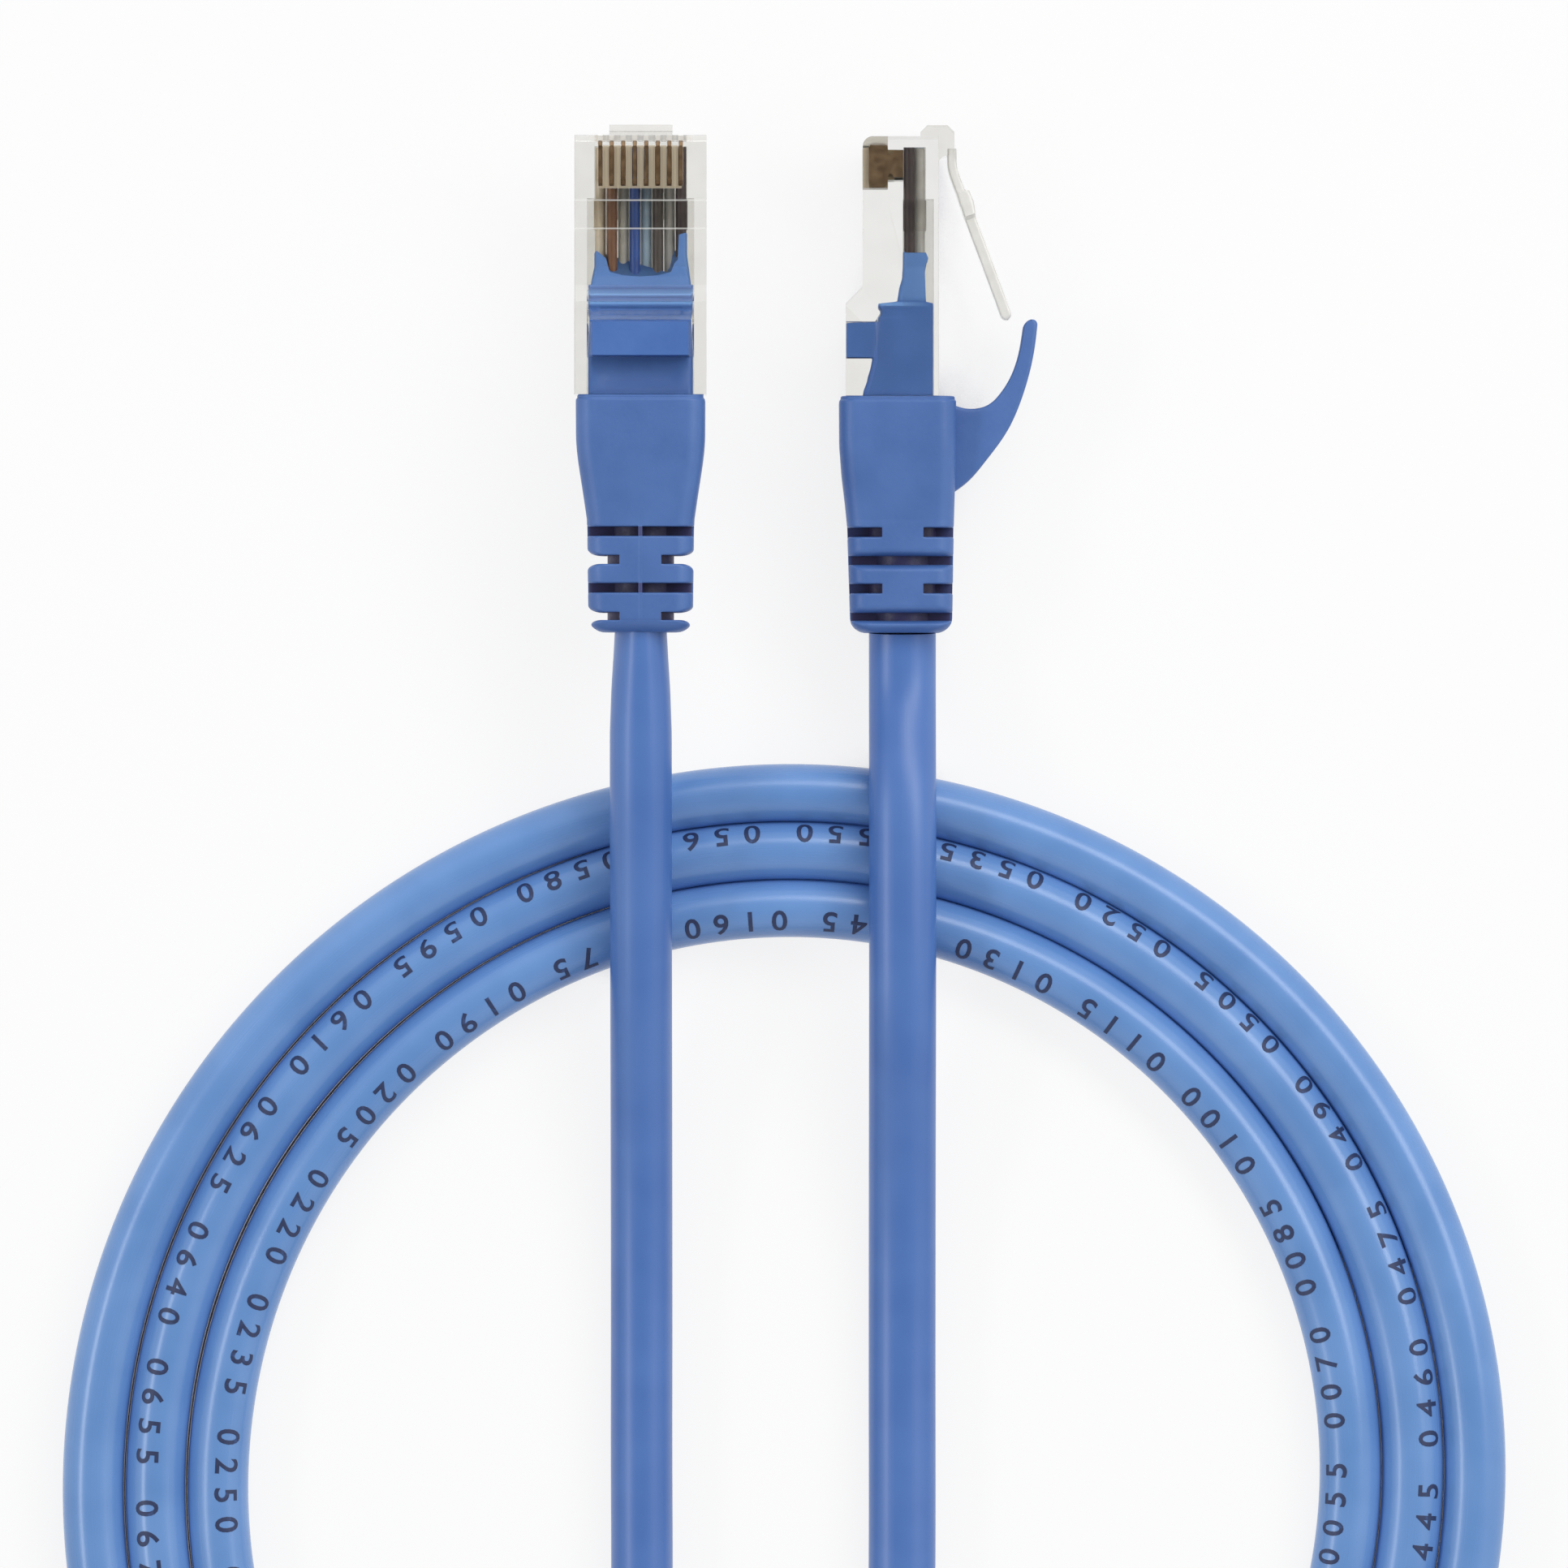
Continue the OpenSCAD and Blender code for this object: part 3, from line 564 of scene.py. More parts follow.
def figureMeshes(v):
    meshes = []
    for figure in "0123456789":
        text = bpy.data.curves.new("figure", "FONT")
        text.body, text.size, text.extrude = figure, v["typeSize"] * mm, v["thickness"] / 2 * mm
        text.align_x, text.resolution_u = "CENTER", 4
        text.bevel_depth, text.bevel_resolution = v["boldness"] * mm, 0
        source = addObject("figure", text)
        mesh = bpy.data.meshes.new_from_object(source)
        cuts = bmesh.new()
        cuts.from_mesh(mesh)
        for level in np.linspace(0, v["height"] * mm, v["cuts"] + 2)[1:-1]:
            bmesh.ops.bisect_plane(cuts, geom=cuts.verts[:] + cuts.edges[:] + cuts.faces[:],
                                   plane_co=(0, level, 0), plane_no=(0, 1, 0))
        cuts.to_mesh(mesh)
        cuts.free()
        points = pointsOf(mesh) / mm
        points[:, 2] *= v["thickness"] / 2 / np.abs(points[:, 2]).max()
        meshes.append((points, [list(f.vertices) for f in mesh.polygons]))
        bpy.data.objects.remove(source)
        bpy.data.curves.remove(text)
        bpy.data.meshes.remove(mesh)
    return meshes


def addPrint(v):
    glyphs = figureMeshes(v)
    startRun, coilRun = cableRun[coilStart], cableRun[coilEnd] - cableRun[coilStart]
    points, faces, at, mark = [], [], startRun + v["firstGap"], v["startMark"]
    while at < startRun + coilRun * v["share"]:
        for figure in f"{mark:0{v['figures']}d}":
            glyph, sides = glyphs[int(figure)]
            offset = sum(len(p) for p in points)
            points.append(glyph + [at, -v["height"] / 2, v["thickness"] / 2 + v["lift"]])
            faces += [[k + offset for k in side] for side in sides]
            at += v["pitch"]
        at += v["wordGap"]
        mark += v["markStep"]
    points = np.concatenate(points)
    turned = cableValues["startAngle"] + coilTurn * (points[:, 0] - startRun) / coilRun
    radius = cableValues["diameter"] / 2
    angle = np.radians(profileAt(printLie, turned)) + points[:, 1] / radius
    here = lambda table: rowsAt(points[:, 0], cableRun, table)
    side, up = pathFrame(cablePath)
    wide = np.interp(points[:, 0], cableRun, cableWide)[:, None]
    out = (np.cos(angle)[:, None] * unit(here(up)) / wide
           - np.sin(angle)[:, None] * unit(here(side)) * wide)
    onCable = here(cablePath) + out * ((radius + points[:, 2]) * mm)[:, None]
    return addPiece("jacketPrint", onCable, faces, inkPrint, "blue_jacket")


jacketPrint = addPrint(printValues)
print("cable done")


# ---------- housings: copies of the CAD nodes with moulded edges ----------
housingValues = {
    "edge": 0.06,                # mm, radius of the moulded edges
    "segments": 2,
    "bevelFrom": 30,             # degrees between two faces whose edge is rounded
    "flatWithin": 0.5,           # degrees between faces that are one flat face
}
# The cavity's ceiling in the housing's side view, and where the moulding lets it lie: just
# inside the inner mould and over the wires, so that no layer of air shows between them
ceiling = {(21, 3.65): (21, 3.1), (24.3, 2.45): (24.3, 2.2), (29.4, 2.45): (29.0, 1.6),
           (33.75, 0.55): (29.0, 0), (38.45, 0.55): (38.45, 0)}


# Plug coordinates in mm of points in the frame
def inPlug(points, plug):
    p = (points - exits[plug]) / mm
    return np.stack([p[:, 2], p[:, 1], -p[:, 0]], -1) if plug == "b" else p


def addHousing(plug, v):
    mesh = nodes[f"plug_{plug}_housing"].data.copy()
    points = inPlug(pointsOf(mesh), plug)
    for old, new in ceiling.items():
        points[np.abs(points[:, 1:] - old).max(1) < 0.02, 1:] = new
    mesh.vertices.foreach_set("co", placed(points, plug).ravel())
    merged = bmesh.new()
    merged.from_mesh(mesh)
    bmesh.ops.remove_doubles(merged, verts=merged.verts, dist=0.001 * mm)
    bmesh.ops.dissolve_limit(merged, angle_limit=math.radians(v["flatWithin"]),
                             verts=merged.verts, edges=merged.edges)
    merged.to_mesh(mesh)
    merged.free()
    mesh.materials.clear()
    mesh.materials.append(housingPlastic[plug])
    mesh.shade_smooth()
    mesh.set_sharp_from_angle(angle=math.radians(v["bevelFrom"]))
    piece = addObject("housing" + plug.upper(), mesh)
    rounding = piece.modifiers.new("mouldedEdges", "BEVEL")
    rounding.width, rounding.segments = v["edge"] * mm, v["segments"]
    rounding.limit_method, rounding.angle_limit = "ANGLE", math.radians(v["bevelFrom"])
    flats = piece.modifiers.new("flatFaces", "WEIGHTED_NORMAL")
    flats.keep_sharp = True
    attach(piece, "root")
    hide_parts(f"plug_{plug}_housing")


for plug in "ab":
    addHousing(plug, housingValues)
print("housings done")


# ---------- boot ----------
bootValues = {
    "length": 21.0, "bore": 2.8, "skin": 2.95,       # mm; skin closes the slots' floors
    "corner": 1.6, "rim": 0.45,
    "endDepth": 1.28, "endWidth": 1.75,              # rounding of the rear end
    "slots": [(1.4, "side", 0.7), (3.9, "top", 0.84), (6.4, "side", 0.78), (8.9, "top", 0.84)],
    "web": 1.85, "fin": 0.2,                         # half widths of the webs and of the fin
    "edge": 0.2, "sideEdge": 0.6, "sideDepth": 1.4,  # rounding of the slots' edges
    "parting": (0.12, 0.05), "partingFades": (9, 11),  # parting line: half width and depth
    "rimGroove": (20.72, 0.13, 0.13),                # place, half width and depth
    # painted shade: a slot darkens from 0.7 mm below the outline over 0.5 mm, and its fin takes 0.8
    "slotShade": (0.7, 0.5), "finShade": 0.8,            # a slot darkens from 0.7 mm deep, over 0.5
}
bootWidth = [(0, 9.2), (9, 9.42), (10, 9.5), (11.57, 9.95), (13.1, 10.42), (15, 11.0),
             (16.2, 11.28), (17.2, 11.4), (21, 11.44)]
bootTop = [(0, 4.62), (9.5, 4.92), (11.5, 5.12), (14, 5.42), (16.7, 5.62), (21, 5.65)]
bootBottom = [(0, 4.4), (9.5, 4.55), (14, 4.68), (21, 4.75)]


# How far a rounded rectangle's outline is from the axis at each angle. Beside a corner it is
# the far root of |t d - c| = corner, for the corner's centre c and the direction d.
def outlineReach(angle, half, top, bottom, corner):
    c, s = np.abs(np.cos(angle))[None, :], np.abs(np.sin(angle))[None, :]
    half = half[:, None]
    height = np.where(np.sin(angle)[None, :] >= 0, top[:, None], bottom[:, None])
    flat = np.minimum(half / np.maximum(c, 1e-6), height / np.maximum(s, 1e-6))
    cx, cz = half - corner, height - corner
    along = c * cx + s * cz
    root = np.maximum(along ** 2 - (cx ** 2 + cz ** 2 - corner ** 2), 0)
    return np.where((flat * c > cx) & (flat * s > cz), along + np.sqrt(root), flat)


# Rings along the boot, out from the axis at fixed angles: the outline, cut back in the slots
# to what the webs and the fin leave, with rounded edges; then back through the bore
def addBoot(plug, v):
    quarter = np.concatenate([np.arange(0, 84.1, 1.5), [84.6, 85.2, 85.8, 86.4, 87, 88, 89, 90]])
    upper = np.concatenate([quarter, 180 - quarter[-2::-1]])
    angle = np.radians(np.concatenate([upper, 360 - upper[-2:0:-1]]))
    steps = np.array([0, 0.01, 0.03, 0.06, 0.1, 0.15, 0.2, 0.3, 0.42, 0.56, 0.72, 0.9])
    rear = v["endDepth"] * (1 - np.cos(np.linspace(0, np.pi / 2, 12)))
    front = v["length"] - v["rim"] * (1 - np.cos(np.linspace(0, np.pi / 2, 7)))
    places = np.concatenate([rear, front, np.arange(1.5, 20.4, 0.5), np.arange(20.4, 20.96, 0.04)])
    walls = [(y - wide / 2, y + wide / 2) for y, _, wide in v["slots"]]
    ends = [0] + [w for pair in walls for w in pair] + [v["length"]]
    y, cut = [], []
    for number in range(len(v["slots"]) + 1):
        low, high = ends[2 * number], ends[2 * number + 1]
        solid = np.concatenate([places, low + steps, high - steps, [low, high]])
        solid = np.unique(np.round(solid[(solid >= low) & (solid <= high)], 4))
        y += [solid]
        cut += [np.full(len(solid), -1)]
        if number < len(v["slots"]):
            y += [np.linspace(*walls[number], 4)]
            cut += [np.full(4, number)]
    y, cut = np.concatenate(y), np.concatenate(cut)
    at = lambda profile: profileAt(profile, y)
    outer = outlineReach(angle, at(bootWidth) / 2, at(bootTop), at(bootBottom), v["corner"])
    c, s = np.abs(np.cos(angle)) + 1e-6, np.abs(np.sin(angle)) + 1e-6
    groove, halfWidth, depth = v["rimGroove"]
    outer = outer - depth * np.exp(-((y[:, None] - groove) / halfWidth) ** 2)
    halfWidth, depth = v["parting"]
    parting = depth * np.exp(-(outer * c / halfWidth) ** 2)
    outer = outer - parting * (1 - ease(y, *v["partingFades"]))[:, None]
    rounded = lambda gap, size: 1 - np.sqrt(1 - np.clip(1 - gap / size, 0, 1) ** 2)
    reach = outer - v["endWidth"] * rounded(y, v["endDepth"])[:, None]
    reach = reach - v["rim"] * rounded(v["length"] - y, v["rim"])[:, None]
    # Painted shade: how far each point lies down in a slot, as the share that darkens its colour
    shadeShare = np.zeros_like(reach)
    for number, (middle, kind, wide) in enumerate(v["slots"]):
        if kind == "side":
            floor = np.maximum(v["skin"], v["web"] / c)
            outward = ease(c, 0.55, 0.85)
        else:
            floor = np.maximum(np.maximum(v["skin"], v["web"] / s), v["fin"] / c)
            outward = np.zeros_like(c)
        size = v["edge"] + (v["sideEdge"] - v["edge"]) * outward
        depth = v["edge"] + (v["sideDepth"] - v["edge"]) * outward
        gap = np.abs(y - middle)[:, None] - wide / 2
        share = np.clip((outer - floor) / 0.5, 0, 1)
        edge = np.where(gap > -1e-4, depth * rounded(np.maximum(gap, 0), size[None, :]) * share, 0)
        here = (cut == number)[:, None]
        reach = np.where(here, np.minimum(reach, floor), reach - edge)
        full, across = (at(bootWidth) / 2, c) if kind == "side" else (at(bootTop), s)
        slotShade = (np.clip((full[:, None] - reach * across - v["slotShade"][0]) / v["slotShade"][1], 0, 1)
                * np.clip((outer - reach) / 0.2, 0, 1))
        if kind == "top":
            slotShade = np.maximum(slotShade, v["finShade"] * (s > 0.985))
        shadeShare = np.where(here, slotShade, shadeShare)
    reach = np.maximum(reach, v["skin"])
    ring = np.stack([np.cos(angle), np.zeros_like(angle), np.sin(angle)], -1)
    ahead = np.array([0, 1, 0])
    shell = reach[..., None] * ring + y[:, None, None] * ahead
    bore = v["bore"] * ring + np.array([v["length"], 0])[:, None, None] * ahead
    # The bore is in full painted shade
    paintedShade = np.concatenate([shadeShare.ravel(), np.ones(2 * len(angle))])
    addPlugPiece(plug, "boot", "boot", np.concatenate([shell, bore]), plugPvc, "moulded_blue",
                 loop=True, sharp=40, marks={"paintedShade": paintedShade})


# ---------- the cable's end in each boot ----------
jacketEndValues = {"outer": 2.75, "inner": 2.134, "length": 21.0, "sides": 48}


# A hollow tube: an outer and an inner circle, joined at both ends
def addJacketEnd(plug, v):
    angle = np.arange(v["sides"]) * 2 * np.pi / v["sides"]
    radius = np.repeat([v["outer"], v["inner"]], 2)[:, None]
    y = np.array([0, v["length"], v["length"], 0])[:, None]
    rings = np.stack(np.broadcast_arrays(radius * np.cos(angle), y, radius * np.sin(angle)), -1)
    addPlugPiece(plug, "jacketEnd", "jacket_end", rings, jacketPvc, "blue_jacket", loop=True)


# ---------- wires ----------
wireValues = {
    "diameter": 0.96, "pitch": 1.02, "upperZ": -0.6, "lowerZ": -1.5,
    "leave": 22.0, "sorted": 25.2, "rows": 28.7, "end": 42.99,
    "ring": 1.594,               # radius of the wires' circle in the cable
    "otherSlots": 5,             # of the record, before the wires' eight
}
ringAngles = [202.5, 157.5, 247.5, 112.5, 67.5, 292.5, 337.5, 22.5]


def addWire(plug, pin, v):
    angle = math.radians(ringAngles[pin - 1])
    ringX, ringZ = v["ring"] * math.cos(angle), v["ring"] * math.sin(angle)
    x = (pin - 4.5) * v["pitch"]
    z = v["upperZ"] if pin % 2 == 0 else v["lowerZ"]
    corners = np.array([(ringX, 0, ringZ), (ringX, v["leave"], ringZ), (x, v["sorted"], ringZ),
                        (x, v["rows"], z), (x, v["end"], z)])
    along = np.linspace(0, v["end"], 130)
    path = np.stack([np.interp(along, corners[:, 1], corners[:, 0]), along,
                     np.interp(along, corners[:, 1], corners[:, 2])], -1)
    for axis in (0, 2):          # rounds the corners, with the ends kept
        eased = np.convolve(path[:, axis], np.ones(7) / 7, mode="same")
        path[4:-4, axis] = eased[4:-4]
    slot = frame["record"]["materials"][v["otherSlots"] + pin - 1]["slot"]
    addPlugPiece(plug, "wire", "wire_", tubeRings(path, v["diameter"] / 2, 16),
                 wireMaterials[pin - 1], slot, pin)


for plug in "ab":
    addBoot(plug, bootValues)
    addJacketEnd(plug, jacketEndValues)
    for pin in range(1, 9):
        addWire(plug, pin, wireValues)
print("boots and wires done")


# ---------- inner mould ----------
mouldValues = {
    "rear": 21.05, "step": 29.3, "tip": 33.8, "stretchFrom": 30.5,
    "blockRear": 24.32, "blockFront": 27.58, "blockHalf": 4.42, "blockTop": 4.99,
    "grooveRear": 27.95, "grooveFront": 28.85, "grooveDepth": 0.28,
    "rearHalf": 4.62, "neckHalf": 4.1,
    "soft": 0.14, "edge": 0.35,            # rounding of the block's and of the top's edges
    "finger": {"a": 35.4, "b": 33.8},      # how far the right-hand finger reaches
}
# Heights by the distance y from the boot's rear face: a shoulder that falls away from the boot,
# a lower neck over the wires in front of the step, and the floor
mouldShoulder = [(21, 3.55), (21.5, 3.45), (22.3, 3.05), (24.7, 2.63), (27.1, 2.25), (29.2, 2.16)]
mouldNeck = [(29.3, 0.5), (30.6, 0.3), (31.5, 0.03), (33, -0.02)]
mouldFloor = [(21, -2.68), (29.2, -2.68), (29.35, -2.06), (31, -2.0), (32.4, -1.95),
              (33.2, -2.28), (33.8, -2.02)]
# Where the front ends, by the place x across it, up to the right-hand finger
mouldFront = [(-4.1, 33.6), (-3.9, 33.8), (-3.05, 33.1), (-2.75, 31.9), (-1.5, 31.6), (0, 31.5),
              (1.5, 31.6), (2.7, 31.9), (3.0, 32.7), (3.3, 33.0)]


# 1 between low and high, and less within a soft edge of them
def between(value, low, high, soft):
    return ease(value, low, low + soft) * (1 - ease(value, high - soft, high))


# The top's height: shoulder and neck, with the block under the window and the edges rounded
def mouldTop(x, y, half, v):
    groove = between(y, v["grooveRear"], v["grooveFront"], 0.2)
    shoulder = profileAt(mouldShoulder, y) \
        - v["grooveDepth"] * groove * (1 - 0.3 * ease(np.abs(x), 3.4, 3.9))
    pads = np.exp(-((np.abs(x) - 3.75) ** 2 + (y - 22.5) ** 2) / 0.45)
    shoulder = np.minimum(shoulder + 0.12 * pads, 3.6)
    neck = profileAt(mouldNeck, y)
    top = shoulder + (neck - shoulder) * ease(y, v["step"] - 0.15, v["step"] + 0.1)
    block = (between(y, v["blockRear"], v["blockFront"], v["soft"])
             * (1 - ease(np.abs(x), v["blockHalf"] - v["soft"], v["blockHalf"])))
    top = top + (v["blockTop"] - top) * block
    edge = np.clip((np.abs(x) - half + v["edge"]) / v["edge"], 0, 1)
    return top - v["edge"] * (1 - np.sqrt(1 - edge ** 2 * 0.999))


def addInnerMould(plug, v):
    edges = [v["step"], v["blockRear"] + v["soft"] / 2, v["blockFront"] - v["soft"] / 2]
    stations = np.sort(np.concatenate(
        [np.linspace(v["rear"], v["tip"], 90)]
        + [np.linspace(e - 0.16, e + 0.16, 14) for e in edges]))
    across, under = np.linspace(1, -1, 81), np.linspace(-1, 1, 31)
    share = np.concatenate([across, under])
    half = np.interp(stations, [29.8, 32.5], [v["rearHalf"], v["neckHalf"]])[:, None]
    x = half * share[None, :]
    finger = v["finger"][plug]
    front = profileAt(mouldFront + [(3.38, finger - 0.2), (4.0, finger), (4.1, finger - 0.1)],
                      x * v["neckHalf"] / half)
    stretch = np.clip(stations - v["stretchFrom"], 0, None)[:, None] / (v["tip"] - v["stretchFrom"])
    y = np.minimum(stations, v["stretchFrom"])[:, None] + stretch * (front - v["stretchFrom"])
    z = np.where(np.arange(len(share)) < len(across), mouldTop(x, y, half, v),
                 profileAt(mouldFloor, y))
    # Painted highlight: light blue along the shoulder's rounded front edge, and a third of it on
    # all in front of the step
    paintedHighlight = (0.3 * ease(y, 29.35, 29.6)
            + 0.85 * ease(y, 28.9, 29.05) * (1 - ease(y, 29.2, 29.4)) * (z > 0))
    addPlugPiece(plug, "innerMould", "inner_mould", np.stack([x, y, z], -1), innerPvc,
                 "moulded_blue", sharp=50, marks={"paintedHighlight": paintedHighlight.ravel()})


for plug in "ab":
    addInnerMould(plug, mouldValues)
print("inner moulds done")


# ---------- latch and snag guard ----------
# Rounded rectangles of the given widths and heights, as across and up. Each corner is an arc,
# with a point a little way along the flat on either side of it, which keeps the flats flat.
def corneredRings(width, height, radius):
    turn = np.radians(np.linspace(0, 90, 5))
    r = np.minimum(radius, 0.49 * np.minimum(width, height))[:, None]
    signs = [(1, 1), (-1, 1), (-1, -1), (1, -1)]
    across, up = [], []
    for number, (a, b) in enumerate(signs):
        spin = turn + number * np.pi / 2
        x = a * (width[:, None] / 2 - r) + r * np.cos(spin)
        z = b * (height[:, None] / 2 - r) + r * np.sin(spin)
        lead = 0.12 * np.minimum(width, height)[:, None]
        first, last = spin[0], spin[-1]
        before = (x[:, :1] + lead * np.sin(first), z[:, :1] - lead * np.cos(first))
        after = (x[:, -1:] - lead * np.sin(last), z[:, -1:] + lead * np.cos(last))
        across += [before[0], x, after[0]]
        up += [before[1], z, after[1]]
    return np.concatenate(across, 1), np.concatenate(up, 1)


latchValues = {
    "hinge": (41.7, -4.4), "angle": 19.7, "length": 14.7, "thickness": 0.95,
    "neckThickness": 0.8, "armWidth": 3.25, "neckWidth": 5.6, "shoulderWidth": 6.1,
    "shoulderStart": 2.7, "shoulderEnd": 4.9, "shoulderRise": 0.35,
    "rooted": 1.3, "tip": 0.5,   # lengths inside the root block and of the rounded end
    "bends": [(0, 42.6, -4.0), (0, 39.6, -4.6)],
}


# A strip along a straight line from the hinge, with its width and thickness by the distance
# from it; the neck starts level, inside the root block
def addLatch(plug, v):
    s0, s1, length, rooted = v["shoulderStart"], v["shoulderEnd"], v["length"], v["rooted"]
    run = np.unique(np.concatenate([
        np.linspace(-rooted, s0, 24), [s0 + 0.05], np.linspace(s0 + 0.08, s1, 16),
        [s1 + 0.3], np.linspace(s1 + 0.35, length - v["tip"], 36),
        length - v["tip"] + v["tip"] * np.sin(np.linspace(0, np.pi / 2, 9))]))
    slope = math.radians(v["angle"])
    down = np.where(run < 0, 0, slope * ease(run, -0.6, 1.6))
    steps = np.diff(run, prepend=run[0])
    hingeY, hingeZ = v["hinge"]
    y = hingeY + rooted - np.cumsum(steps * np.cos(down))
    z = np.cumsum(-steps * np.sin(down))
    endY, endZ = hingeY - length * math.cos(slope), hingeZ - length * math.sin(slope)
    y += (endY - y[-1]) * ease(run, -rooted, 3)
    z += hingeZ + (endZ - hingeZ - z[-1]) * ease(run, -0.6, length)
    width = profileAt([(s0, v["neckWidth"]), (s0 + 0.05, v["shoulderWidth"]),
                       (s1, v["shoulderWidth"]), (s1 + 0.3, v["armWidth"])], run)
    thick = profileAt([(s0, v["neckThickness"]), (s1, v["thickness"])], run)
    taper = np.sqrt(1 - np.clip((run - length + v["tip"]) / v["tip"], 0, 0.97) ** 2)
    rise = v["shoulderRise"] * ease(run, s0 - 0.1, s0 + 0.15) * (1 - ease(run, s1 - 1.2, s1 + 0.6))
    path = np.stack([np.zeros_like(y), y, z], -1)
    up = pathFrame(path)[1]
    up = up * np.sign(up[:, 2:])
    a, b = corneredRings(width * (0.75 + 0.25 * taper), thick * taper, 0.22)
    b = np.where(b < 0, b * (1 + 2 * rise / thick)[:, None], b)
    rings = path[:, None] - a[..., None] * np.array([1, 0, 0]) + b[..., None] * up[:, None]
    piece = addPlugPiece(plug, "latch", "latch", rings, latchPlastic, "clear_plastic", body=None)
    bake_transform(piece)


loadBarValues = {"width": 8.3, "rear": 35.62, "front": 38.38, "bottom": -2.1, "top": -0.04,
                 "edge": 0.1, "corner": 0.15}


# The load bar: a clear block with rounded edges that the wires run through
def addLoadBar(plug, v):
    turn = np.linspace(0, np.pi / 2, 5)
    inset, lead = v["edge"] * (1 - np.sin(turn)), v["edge"] * (1 - np.cos(turn))
    shrink = np.concatenate([inset, inset[::-1]])
    y = np.concatenate([v["rear"] + lead, v["front"] - lead[::-1]])
    a, b = corneredRings(v["width"] - 2 * shrink, v["top"] - v["bottom"] - 2 * shrink, v["corner"])
    rings = np.stack([a, np.broadcast_to(y[:, None], a.shape), b + (v["top"] + v["bottom"]) / 2],
                     -1)
    addPlugPiece(plug, "loadBar", "load_bar", rings, barPlastic, "clear_plastic")


guardValues = {"width": 6.1, "tipWidth": 5.6, "corner": 0.3,
               "bends": [(0, 14.0, -5.5), (0, 23.0, -10.5)]}
guardOuter = [(12.4, -4.4), (13.4, -5.75), (15.4, -7.5), (17.9, -9.3), (20.4, -10.45),
              (22.75, -11.2), (25.7, -11.8), (27.3, -11.98)]
guardInner = [(20.6, -3.9), (20.1, -4.9), (19.9, -6.3), (20.25, -7.6), (21.3, -8.7),
              (22.75, -9.6), (24.7, -10.3), (27.1, -10.72)]


# A smooth line through a profile's y and z, as 60 points in even steps
def walked(profile):
    line = splineThrough(np.array([(0, y, z) for y, z in profile], float), 0.1)
    return rowsAt(np.linspace(0, 1, 60), np.linspace(0, 1, len(line)), line)


# A strip between two profile lines that are walked in step, closed by a half-round tip
def addGuard(plug, v):
    outer, inner = walked(guardOuter), walked(guardInner)
    middle, reach = (outer + inner) / 2, (inner - outer) / 2
    ahead = unit(middle[-1] - middle[-2])
    tip = np.sin(np.linspace(0, 0.97 * np.pi / 2, 12)[1:])
    radius = np.linalg.norm(reach[-1])
    middle = np.concatenate([middle, middle[-1] + ahead * radius * tip[:, None]])
    reach = np.concatenate([reach, reach[-1] * np.sqrt(1 - tip[:, None] ** 2)])
    width = np.interp(np.arange(len(middle)), [20, len(middle)], [v["width"], v["tipWidth"]])
    thick = 2 * np.linalg.norm(reach, axis=1)
    a, b = corneredRings(width, thick, v["corner"])
    rings = (middle[:, None] + (2 * b / thick[:, None])[..., None] * reach[:, None]
             + a[..., None] * np.array([1, 0, 0]))
    piece = addPlugPiece(plug, "guard", "guard", rings, plugPvc, "moulded_blue", body=None)
    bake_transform(piece)


for plug in "ab":
    addLoadBar(plug, loadBarValues)
    addLatch(plug, latchValues)
    addGuard(plug, guardValues)
print("load bars, latches and guards done")

# ---------- contacts ----------
contactValues = {"pitch": 1.02, "thickness": 0.35, "edge": 0.03, "edgeShare": 0.985}
# The stamped blade in side view, as y and z in mm: a body with cut corners, a neck and a foot
contactOutline = [(39.5, 1.72), (39.86, 1.34), (40.5, 1.3), (40.72, 1.12), (40.66, 0.92),
                  (40.42, 0.78), (40.42, -0.06), (42.8, -0.06), (42.8, 0.78), (42.5, 0.92),
                  (42.44, 1.12), (42.66, 1.3), (43.16, 1.34), (43.5, 1.72), (43.5, 2.56),
                  (43.34, 2.86), (43.04, 3.02), (39.96, 3.02), (39.66, 2.86), (39.5, 2.56)]


# The outline, drawn at four places across the blade; the outer two are a little smaller
def addContact(plug, pin, v):
    outline = np.array(contactOutline)[::-1]
    middle = outline.mean(0)
    inner = middle + (outline - middle) * v["edgeShare"]
    half, centre = v["thickness"] / 2, (pin - 4.5) * v["pitch"]
    rings = np.stack([np.column_stack([np.full(len(outline), centre + x), ring])
                      for x, ring in ((-half, inner), (v["edge"] - half, outline),
                                      (half - v["edge"], outline), (half, inner))])
    addPlugPiece(plug, "contact", "contact_", rings, contactMetal, "gold_contact", pin, sharp=25)


for plug in "ab":
    for pin in range(1, 9):
        addContact(plug, pin, contactValues)
print("contacts done")

# ---------- the separator's CAD nodes stay ----------
for plug in "ab":
    nodes[f"plug_{plug}_separator"].material_slots[0].material = separatorPlastic


# ---------- floor, light and background ----------
stageValues = {
    "floorSize": 3.0,            # m
    "floorWhite": "#F2F2F2",
    # painted shade: the floor's colour in a narrow gap
    "gapShade": "#46428A",        # what the floor takes on from the cord in a narrow gap
    "glow": 0.84,                # share of the floor's white that doesn't take a shadow
    "glowThrough": 0.94,         # the same where it is seen through or mirrored in something
    "gapReach": 7.0,             # mm; floor that is hemmed in closer than this loses its glow
    "worldStrength": 0.5,
    "zenith": 0.06,              # brightness that gloss mirrors from straight above
    "aim": (0, -0.05, 0),
    # name, watts, length, width, distance in m, degrees from +X to +Y, degrees off the vertical
    "lamps": [("key", 4.8, 1.1, 0.28, 0.9, 48, 42), ("edge", 1.5, 0.5, 0.15, 0.9, 180, 50)],
}


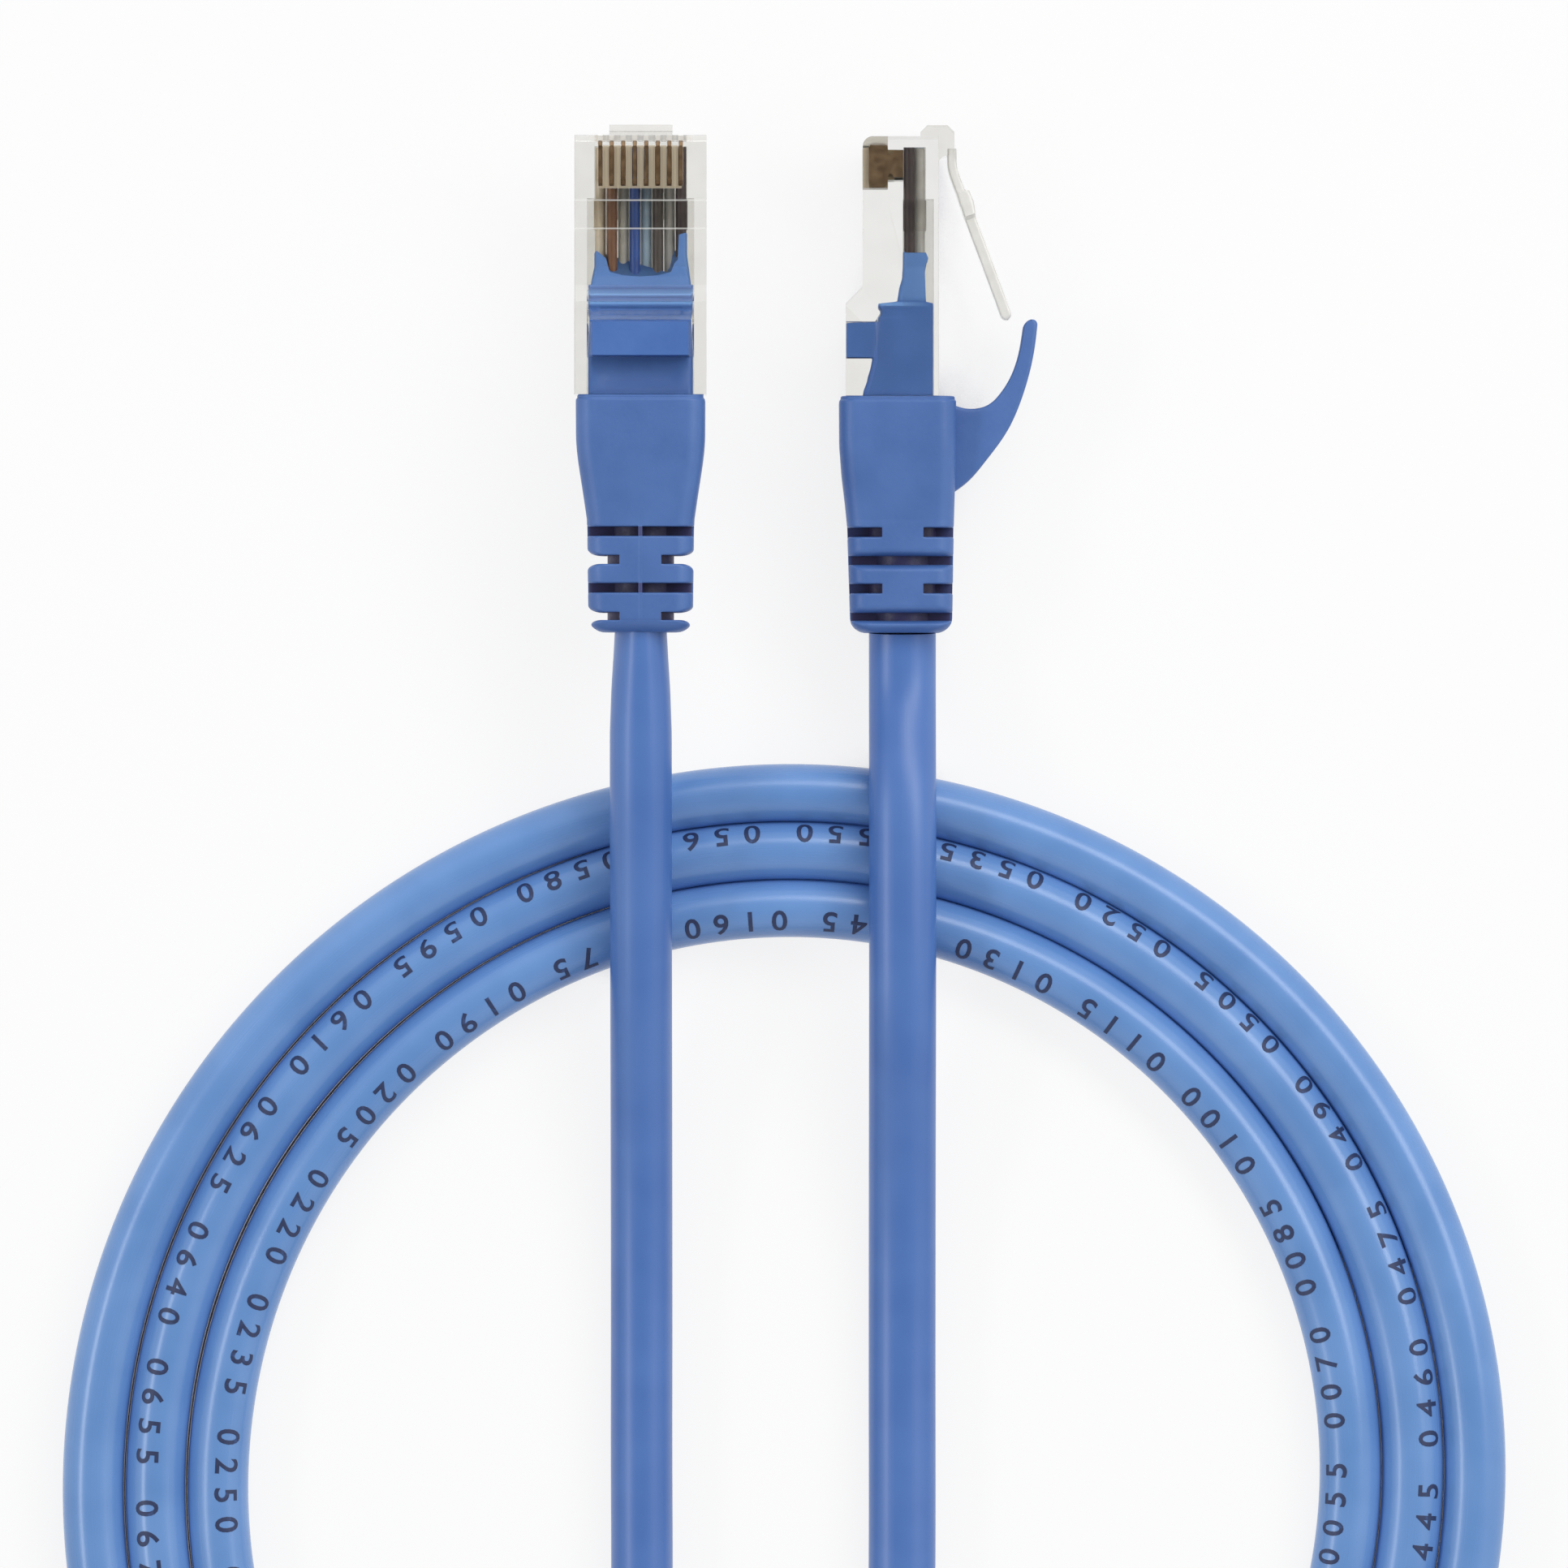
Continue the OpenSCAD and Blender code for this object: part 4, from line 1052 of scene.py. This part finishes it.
# 1 for the rays of these kinds that come before any scattering, and 0 for those that light
# the object
def seenRays(tree, *names):
    ray = add(tree, "LightPath")
    seen = 0.0
    for name in names:
        seen = calc(tree, "MAXIMUM", ray.outputs[name], seen)
    straight = calc(tree, "LESS_THAN", ray.outputs["Diffuse Depth"], 0.5)
    return calc(tree, "MULTIPLY", seen, straight)


def addFloor(v):
    material = bpy.data.materials.new("paleFloor")
    tree = emptyTree(material)
    # Painted shade: in a narrow gap the floor is painted dark blue and loses its glow
    near = add(tree, "AmbientOcclusion", {"Distance": v["gapReach"] * mm}, samples=8)
    clearance = ranged(tree, near.outputs["AO"], 0.1, 0.4, 0, 1)
    plain = add(tree, "BsdfDiffuse", {
        "Color": mixed(tree, clearance, v["gapShade"], v["floorWhite"])})
    glow = add(tree, "Emission", {"Color": "#FFFFFF", "Strength": 1.0})
    direct = calc(tree, "MULTIPLY", seenRays(tree, "Is Camera Ray"),
                  calc(tree, "MULTIPLY", clearance, v["glow"]))
    through = calc(tree, "MULTIPLY", seenRays(tree, "Is Glossy Ray", "Is Transmission Ray"),
                   v["glowThrough"])
    both = blended(tree, calc(tree, "MAXIMUM", direct, through), plain, glow)
    add(tree, "OutputMaterial", {"Surface": both.outputs[0]})
    h = v["floorSize"] / 2
    mesh = bpy.data.meshes.new("floor")
    mesh.from_pydata([(-h, -h, 0), (h, -h, 0), (h, h, 0), (-h, h, 0)], [], [(0, 1, 2, 3)])
    mesh.materials.append(material)
    addObject("floor", mesh)


# White all round for the camera, dimmer as light, and darker overhead for what is mirrored
def addWorld(v):
    world = bpy.data.worlds.new("paleStudio")
    bpy.context.scene.world = world
    tree = emptyTree(world)
    place = add(tree, "TexCoord")
    split = add(tree, "SeparateXYZ", {0: place.outputs["Generated"]})
    mirrored = ranged(tree, split.outputs[2], 0.6, 0.98, 1, v["zenith"])
    lit, gloss, seen = [add(tree, "Background", {"Color": "#FFFFFF", "Strength": strength})
                        for strength in (v["worldStrength"], mirrored, 1.0)]
    some = blended(tree, seenRays(tree, "Is Glossy Ray", "Is Transmission Ray"), lit, gloss)
    both = blended(tree, seenRays(tree, "Is Camera Ray"), some, seen)
    add(tree, "OutputWorld", {"Surface": both.outputs[0]})


def addLamps(v):
    for name, power, length, width, away, around, tilt in v["lamps"]:
        data = bpy.data.lights.new(name + "Lamp", "AREA")
        data.shape, data.energy, data.size, data.size_y = "RECTANGLE", power, length, width
        lamp = addObject(name + "Lamp", data)
        around, tilt = math.radians(around), math.radians(tilt)
        back = np.array([math.sin(tilt) * math.cos(around), math.sin(tilt) * math.sin(around),
                         math.cos(tilt)])
        lamp.location = np.array(v["aim"]) + away * back
        lamp.rotation_euler = (tilt, 0, math.atan2(back[0], -back[1]))
        lamp.visible_transmission = False


addFloor(stageValues)
addWorld(stageValues)
addLamps(stageValues)
bpy.context.scene.view_settings.view_transform = "Standard"
print("stage done")
